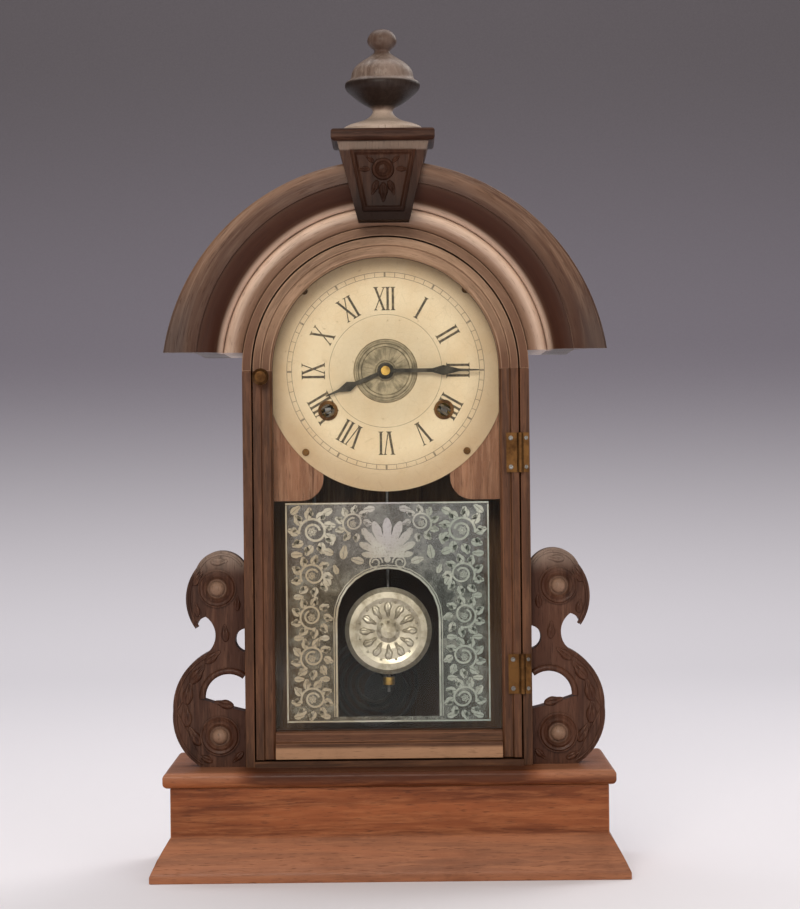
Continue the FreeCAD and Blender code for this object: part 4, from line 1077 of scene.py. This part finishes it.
# Gong wire and mainsprings, wound in half turns that grow
def wound(section, middle, pitch, half_turns, steps, tail=0.0):
    """Carries the top loop of a section round a middle, each half turn about its own centre."""
    top = max(corner.co.z for corner in section.data.vertices) - 0.01 * MM
    choose(section, "EDGE", lambda edge: all(corner.co.z > top for corner in edge.verts))
    for number in range(half_turns):
        offset = pitch / 2 if number % 2 else 0.0
        at = (middle[0] + offset, middle[1], middle[2])
        spun(pi, at, (0, -1, 0), steps)
    if tail:
        drawn(0, 0, tail)
    return capped(section)


gong_low, gong_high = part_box("gong_coil")
gong_y = (gong_low.y + gong_high.y) / 2
GONG_AT = (-12.0 * MM, gong_y, 118.0 * MM)
GONG_TAIL = 2.86 * MM
GONG_START = 10.0 * MM
GONG_PITCH = 5.2 * MM
GONG_FOOT = (GONG_AT[0] + GONG_START, gong_y, GONG_AT[2] - GONG_TAIL)
gong = fixed(circle(10, 1.3 * MM, location=GONG_FOOT))
choose(gong, "EDGE")
drawn(0, 0, GONG_TAIL)
leave()
wound(gong, GONG_AT, GONG_PITCH, 9, 18, -GONG_TAIL)
settled(gong, "gong_wire", "case", gong_steel, 60)
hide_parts("gong_coil")

spring_low, spring_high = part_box("mainsprings")
SPRING_OUT = 38.5 * MM
SPRING_DROP = 26.0 * MM
SPRING_START = 3.65 * MM
SPRING_PITCH = 2.1 * MM
springs = []
for side in (-1, 1):
    at = (side * SPRING_OUT, (spring_low.y + spring_high.y) / 2, HEART.z - SPRING_DROP)
    tape = sheet(0.5 * MM, spring_high.y - spring_low.y)
    choose(tape, "FACE")
    bpy.ops.mesh.delete(type="ONLY_FACE")
    leave()
    tape.location = (at[0] + SPRING_START, at[1], at[2])
    springs.append(wound(fixed(tape), at, SPRING_PITCH, 16, 10))
springs = joined(springs)
settled(springs, "mainspring_strips", "case", steel, 50)
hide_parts("mainsprings")

# Carved leaves and bosses of the side brackets, placed by the brackets' own drawing
ACROSS = 0.96
RISE = 0.979


def carved_leaf():
    """A gouged leaf lying on the wood, broad at its foot and curled to a point."""
    piece = ball(20, 12, 0.5)
    sized(piece, 17.0 * MM, 8.2 * MM, 5.6 * MM)
    corners(piece, lambda at: at.x > 2.0 * MM)
    stretched(1, 0.62, 0.8)
    corners(piece, lambda at: abs(at.y) < 0.7 * MM and abs(at.x) < 7.0 * MM and at.z > 0)
    shifted(0, 0, -1.1 * MM)
    leave()
    return altered(piece, "SUBSURF", levels=1, render_levels=1)


def on_bracket(u, v, y, angle=0.0, size=1.0):
    """A place on the right bracket, u across and v up its drawing."""
    return facing(BRACKET_LOW.x + u * ACROSS * MM, y, BRACKET_LOW.z + v * RISE * MM, -radians(angle), size)


carving = scattered(carved_leaf(), [on_bracket(u, v, BRACKET_FACE, angle, size) for u, v, angle, size in (
    (35.5, 21.0, 60.0, 0.9), (41.0, 35.0, 84.0, 0.95), (39.6, 49.5, 103.0, 0.95), (33.0, 62.5, 128.0, 0.95),
    (22.5, 74.0, 142.0, 0.8), (13.8, 90.0, 86.0, 0.72), (33.2, 106.0, 80.0, 0.6), (32.0, 127.0, 122.0, 0.7),
    (17.5, 138.0, 176.0, 0.7), (5.4, 110.0, 92.0, 0.62), (15.0, 42.4, 14.0, 0.8), (5.8, 6.6, -45.0, 0.6),
    (28.0, 5.8, 28.0, 0.62),
)])


def boss_ring(radius, u, v):
    profile = ((0.5, -0.5), (0.55, 1.0), (0.66, 1.7), (0.78, 0.7), (0.9, 1.3), (1.0, -0.5))
    piece = ringed(40, [(radius * share, height) for share, height in profile])
    piece.matrix_world = on_bracket(u, v, BRACKET_FACE - 2.0 * MM)
    return piece


def bead_line(first, middle, last, inset, thick=0.85):
    """A raised bead along an arc of the bracket's outline, given by three of its points."""
    a, b, c = (Vector((u * ACROSS, v * RISE)) for u, v in (first, middle, last))
    turn = 2 * (a.x * (b.y - c.y) + b.x * (c.y - a.y) + c.x * (a.y - b.y))
    at_x = (a.dot(a) * (b.y - c.y) + b.dot(b) * (c.y - a.y) + c.dot(c) * (a.y - b.y)) / turn
    at_y = (a.dot(a) * (c.x - b.x) + b.dot(b) * (a.x - c.x) + c.dot(c) * (b.x - a.x)) / turn
    centre = Vector((at_x, at_y))
    radius = (a - centre).length - inset
    start, end = (atan2(p.y - at_y, p.x - at_x) for p in (a, c))
    sweep = (end - start) % (2 * pi)
    piece = fixed(circle(10, thick * MM, rotation=(pi / 2, 0, 0), location=(radius * MM, 0, 0)))
    choose(piece, "EDGE")
    spun(sweep, (0, 0, 0), (0, 0, 1), max(6, int(sweep / radians(8))))
    capped(piece)
    place = facing(BRACKET_LOW.x + at_x * MM, BRACKET_FACE, BRACKET_LOW.z + at_y * MM)
    piece.matrix_world = place @ Matrix.Rotation(start, 4, "Z")
    return piece


edge_beads = [
    bead_line((31, 0), (45.5, 15), (50, 38), 2.2),
    bead_line((50, 38), (44, 61), (26, 77), 2.2),
    bead_line((34, 93), (40.5, 114), (33, 134), 2.2),
    bead_line((33, 134), (17, 145), (0, 136), 2.2),
    bead_line((31, 46), (19, 64.5), (0, 62), 1.3, 2.2),
]
carving = fixed(joined([carving, boss_ring(12.6, 18, 21), boss_ring(12.2, 19, 120)] + edge_beads))
mirrored(carving)
settled(carving, "bracket_carving", "case", carved_wood, 50)

# Raised panel, rosette and leaves on the keystone
KEY_MIDDLE = (KEY_LOW.z + KEY_HIGH.z) / 2
PANEL_TAPER = 0.62
panel = block(43.0 * MM, 3.0 * MM, 40.0 * MM)
corners(panel, lambda at: at.z < 0)
stretched(PANEL_TAPER, 1, 1)
choose(panel, "FACE", lambda face: face.normal.y < -0.9)
bpy.ops.mesh.inset(thickness=2.0 * MM)
shifted(0, -1.2 * MM, 0)
bpy.ops.mesh.inset(thickness=1.4 * MM)
shifted(0, 1.6 * MM, 0)
leave()
bevelled(panel, 0.45 * MM, 30)
panel.location = (0, KEY_LOW.y - 0.3 * MM, KEY_MIDDLE)
PANEL_FACE = KEY_LOW.y - 1.4 * MM
button = ringed(36, [(0.3, 3.0), (2.6, 2.6), (3.4, 1.5), (4.4, 1.2), (5.4, 2.1), (6.6, 1.8), (7.4, -0.3)])
button.matrix_world = facing(0, PANEL_FACE, KEY_MIDDLE + 7.0 * MM)
key_leaves = scattered(carved_leaf(), [
    facing(x * MM, PANEL_FACE, KEY_MIDDLE + z * MM, -radians(angle), size)
    for x, z, angle, size in (
        (0, -8.0, -90, 0.78), (-5.5, -5.0, -112, 0.62), (5.5, -5.0, -68, 0.62), (-12.5, 7.0, 180, 0.5),
        (12.5, 7.0, 0, 0.5), (-8.5, 13.5, 140, 0.42), (8.5, 13.5, 40, 0.42),
    )
])
settled(joined([panel, button, key_leaves]), "keystone_panel", "case", key_wood, 40)


# Slotted screws of the hinges and of the backboard
def screw(radius, depth):
    piece = begin(bpy.ops.mesh.primitive_cylinder_add, vertices=24, radius=radius, depth=depth)
    slot = radius * 0.16
    for place in (-slot, slot):
        choose_all(piece)
        bpy.ops.mesh.bisect(plane_co=(place, 0, 0), plane_no=(1, 0, 0))
    choose(piece, "FACE", lambda face: face.normal.z > 0.9 and abs(face.calc_center_median().x) < slot * 0.5)
    bpy.ops.mesh.extrude_region_move(TRANSFORM_OT_translate={"value": (0, 0, -depth * 0.55)})
    leave()
    return bevelled(piece, radius * 0.1, 60)


HINGE_FACE = -31.0 * MM
HINGE_LEVELS = (130.0, 275.0)
HINGE_SCREW_RISE = 9.5
for body, out, radius, twist in (("case", 91.65, 1.25, 0.4), ("door", 81.6, 1.5, 1.1)):
    places = [
        facing(out * MM, HINGE_FACE, (level + rise) * MM, twist + rise)
        for level in HINGE_LEVELS for rise in (-HINGE_SCREW_RISE, HINGE_SCREW_RISE)
    ]
    screws = scattered(screw(radius * MM, 0.8 * MM), places)
    settled(screws, body + "_hinge_screws", body, steel)

BOARD_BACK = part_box("backboard")[1].y
board = loose("backboard")
BOARD_SCREWS = [(side * 80.0 * MM, level * MM) for side in (-1, 1) for level in (84.0, 165.0, 246.0, 326.0)]
BOARD_SCREWS += [(side * 44.0 * MM, 396.0 * MM) for side in (-1, 1)]
for x, z in BOARD_SCREWS:
    cut(board, begin(
        bpy.ops.mesh.primitive_cone_add, vertices=24, radius1=2.0 * MM, radius2=3.4 * MM, depth=2.0 * MM,
        rotation=(-pi / 2, 0, 0), location=(x, BOARD_BACK - 0.7 * MM, z),
    ))
settled(board, "backboard_drilled", "case", deal_wood)
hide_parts("backboard")
BACKWARDS = Matrix.Rotation(-pi / 2, 4, "X")
back_screws = scattered(screw(2.7 * MM, 1.0 * MM), [
    Matrix.Translation((x, BOARD_BACK - 0.8 * MM, z)) @ Matrix.Rotation(z * 40, 4, "Y") @ BACKWARDS
    for x, z in BOARD_SCREWS
])
settled(back_screws, "backboard_screws", "case", steel)

# Wooden cheeks that close the corners below the dial
CHEEK_STEP = -5.0 * MM
CHEEK_FOOT = 16.0 * MM
CHEEK_CORNER = 15.0 * MM
CHEEK_OUT = 73.0 * MM
CHEEK_LEVEL = 287.0 * MM
cheeks = []
for side in (-1, 1):
    def foot_side(face):
        return face.normal.x * side < -0.9 and face.calc_center_median().z < CHEEK_STEP

    def foot_corner(edge):
        return all(corner.co.x * side < -20.0 * MM and corner.co.z < -40.0 * MM for corner in edge.verts)

    cheek = block(30.0 * MM, 2.0 * MM, 86.0 * MM)
    choose_all(cheek)
    bpy.ops.mesh.bisect(plane_co=(0, 0, CHEEK_STEP), plane_no=(0, 0, 1))
    choose(cheek, "FACE", foot_side)
    bpy.ops.mesh.extrude_region_move(TRANSFORM_OT_translate={"value": (-side * CHEEK_FOOT, 0, 0)})
    choose(cheek, "EDGE", foot_corner)
    bpy.ops.mesh.bevel(offset=CHEEK_CORNER, segments=10, profile=0.5)
    leave()
    bevelled(cheek, 0.4 * MM, 60)
    cheek.location = (side * CHEEK_OUT, dial_high.y + 1.2 * MM, CHEEK_LEVEL)
    cheeks.append(cheek)
settled(joined(cheeks), "dial_cheeks", "case", cheek_wood)

# Floor and backdrop in one sweep
SWEEP_WIDE = 9.0
SWEEP_DEEP = 6.0
SWEEP_FROM = 1.5
SWEEP_ROUND = 1.6
SWEEP_WALL = 2.4
sweep = sheet(SWEEP_WIDE, SWEEP_DEEP)
choose(sweep, "VERT")
shifted(0, SWEEP_FROM - SWEEP_DEEP / 2, 0)
choose(sweep, "EDGE", lambda edge: all(corner.co.y > SWEEP_FROM - 0.1 for corner in edge.verts))
STEPS = 24
for number in range(STEPS):
    now, then = (pi / 2 * step / STEPS for step in (number, number + 1))
    rise = SWEEP_ROUND * (cos(now) - cos(then))
    back = SWEEP_ROUND * (sin(then) - sin(now))
    drawn(0, back, rise)
drawn(0, 0, SWEEP_WALL)
only(sweep)
bpy.ops.object.shade_smooth_by_angle(angle=radians(30))
sweep.name = "studio_sweep"
paper = Finish("studio_paper")
x, y, z = paper.axes(paper.spot())
fibre = paper.noise(paper.spot(), 300.0, 3.0, 0.6)
# The paper darkens from the white floor up the wall: painted shade standing in for the fall of the light.
tone = paper.mixed(z.eased(-0.195, 0.47), shade(0.96, 0.945, 0.965), shade(0.445, 0.42, 0.455))
tone = paper.mixed(z.eased(0.3, 1.05), tone, shade(0.325, 0.30, 0.315))
paper.set(Base_Color=paper.mixed(fibre * 0.05, tone, shade(0.8, 0.78, 0.79)), Roughness=0.9)
sweep.data.materials.append(paper.material)

# Camera at the photograph's place, and soft lights
FOCAL_PIXELS = 2596.0
PICTURE_PIXELS = 909.0
SENSOR = 36.0
scene = bpy.context.scene
lens = bpy.data.cameras.new("eye")
lens.sensor_width = SENSOR
lens.lens = FOCAL_PIXELS * SENSOR / PICTURE_PIXELS
eye = bpy.data.objects.new("eye", lens)
scene.collection.objects.link(eye)
eye.location = (0.009, -1.73, 0.2744)
eye.rotation_euler = (radians(90), radians(0.6), 0)
scene.camera = eye


def lamp(name, place, aim, size, power, tint, spread=180):
    """A soft rectangular light, turned to its aim."""
    light = bpy.data.lights.new(name, "AREA")
    light.shape = "RECTANGLE"
    light.size, light.size_y = size
    light.energy = power
    light.spread = radians(spread)
    light.color = tint
    holder = bpy.data.objects.new(name, light)
    scene.collection.objects.link(holder)
    holder.location = place
    holder.rotation_euler = (Vector(aim) - Vector(place)).to_track_quat("-Z", "Y").to_euler()


lamp("key", (-0.3, -1.9, 1.05), (0, 0, 0.3), (0.9, 0.9), 26.0, (1.0, 0.95, 0.87))
lamp("fill", (1.3, -1.8, 0.55), (0, 0, 0.3), (1.2, 1.2), 7.0, (1.0, 0.97, 0.94))
lamp("crown", (-0.1, -0.1, 1.9), (0, -0.05, 0.3), (1.0, 0.8), 6.0, (1.0, 0.98, 0.95))
lamp("rear", (1.3, 1.5, 1.6), (0, 0, 0.35), (1.2, 1.2), 2.6, (1.0, 0.97, 0.93), 60)
lamp("paper", (0.0, 1.2, 3.0), (0.0, 2.2, 0.2), (3.4, 1.0), 60.0, (0.98, 0.98, 1.0))
world = bpy.data.worlds.new("room")
world.use_nodes = True
room = world.node_tree.nodes["Background"].inputs
room["Color"].default_value = (1.0, 0.98, 0.96, 1.0)
room["Strength"].default_value = 0.3
scene.world = world
scene.view_settings.view_transform = "Standard"
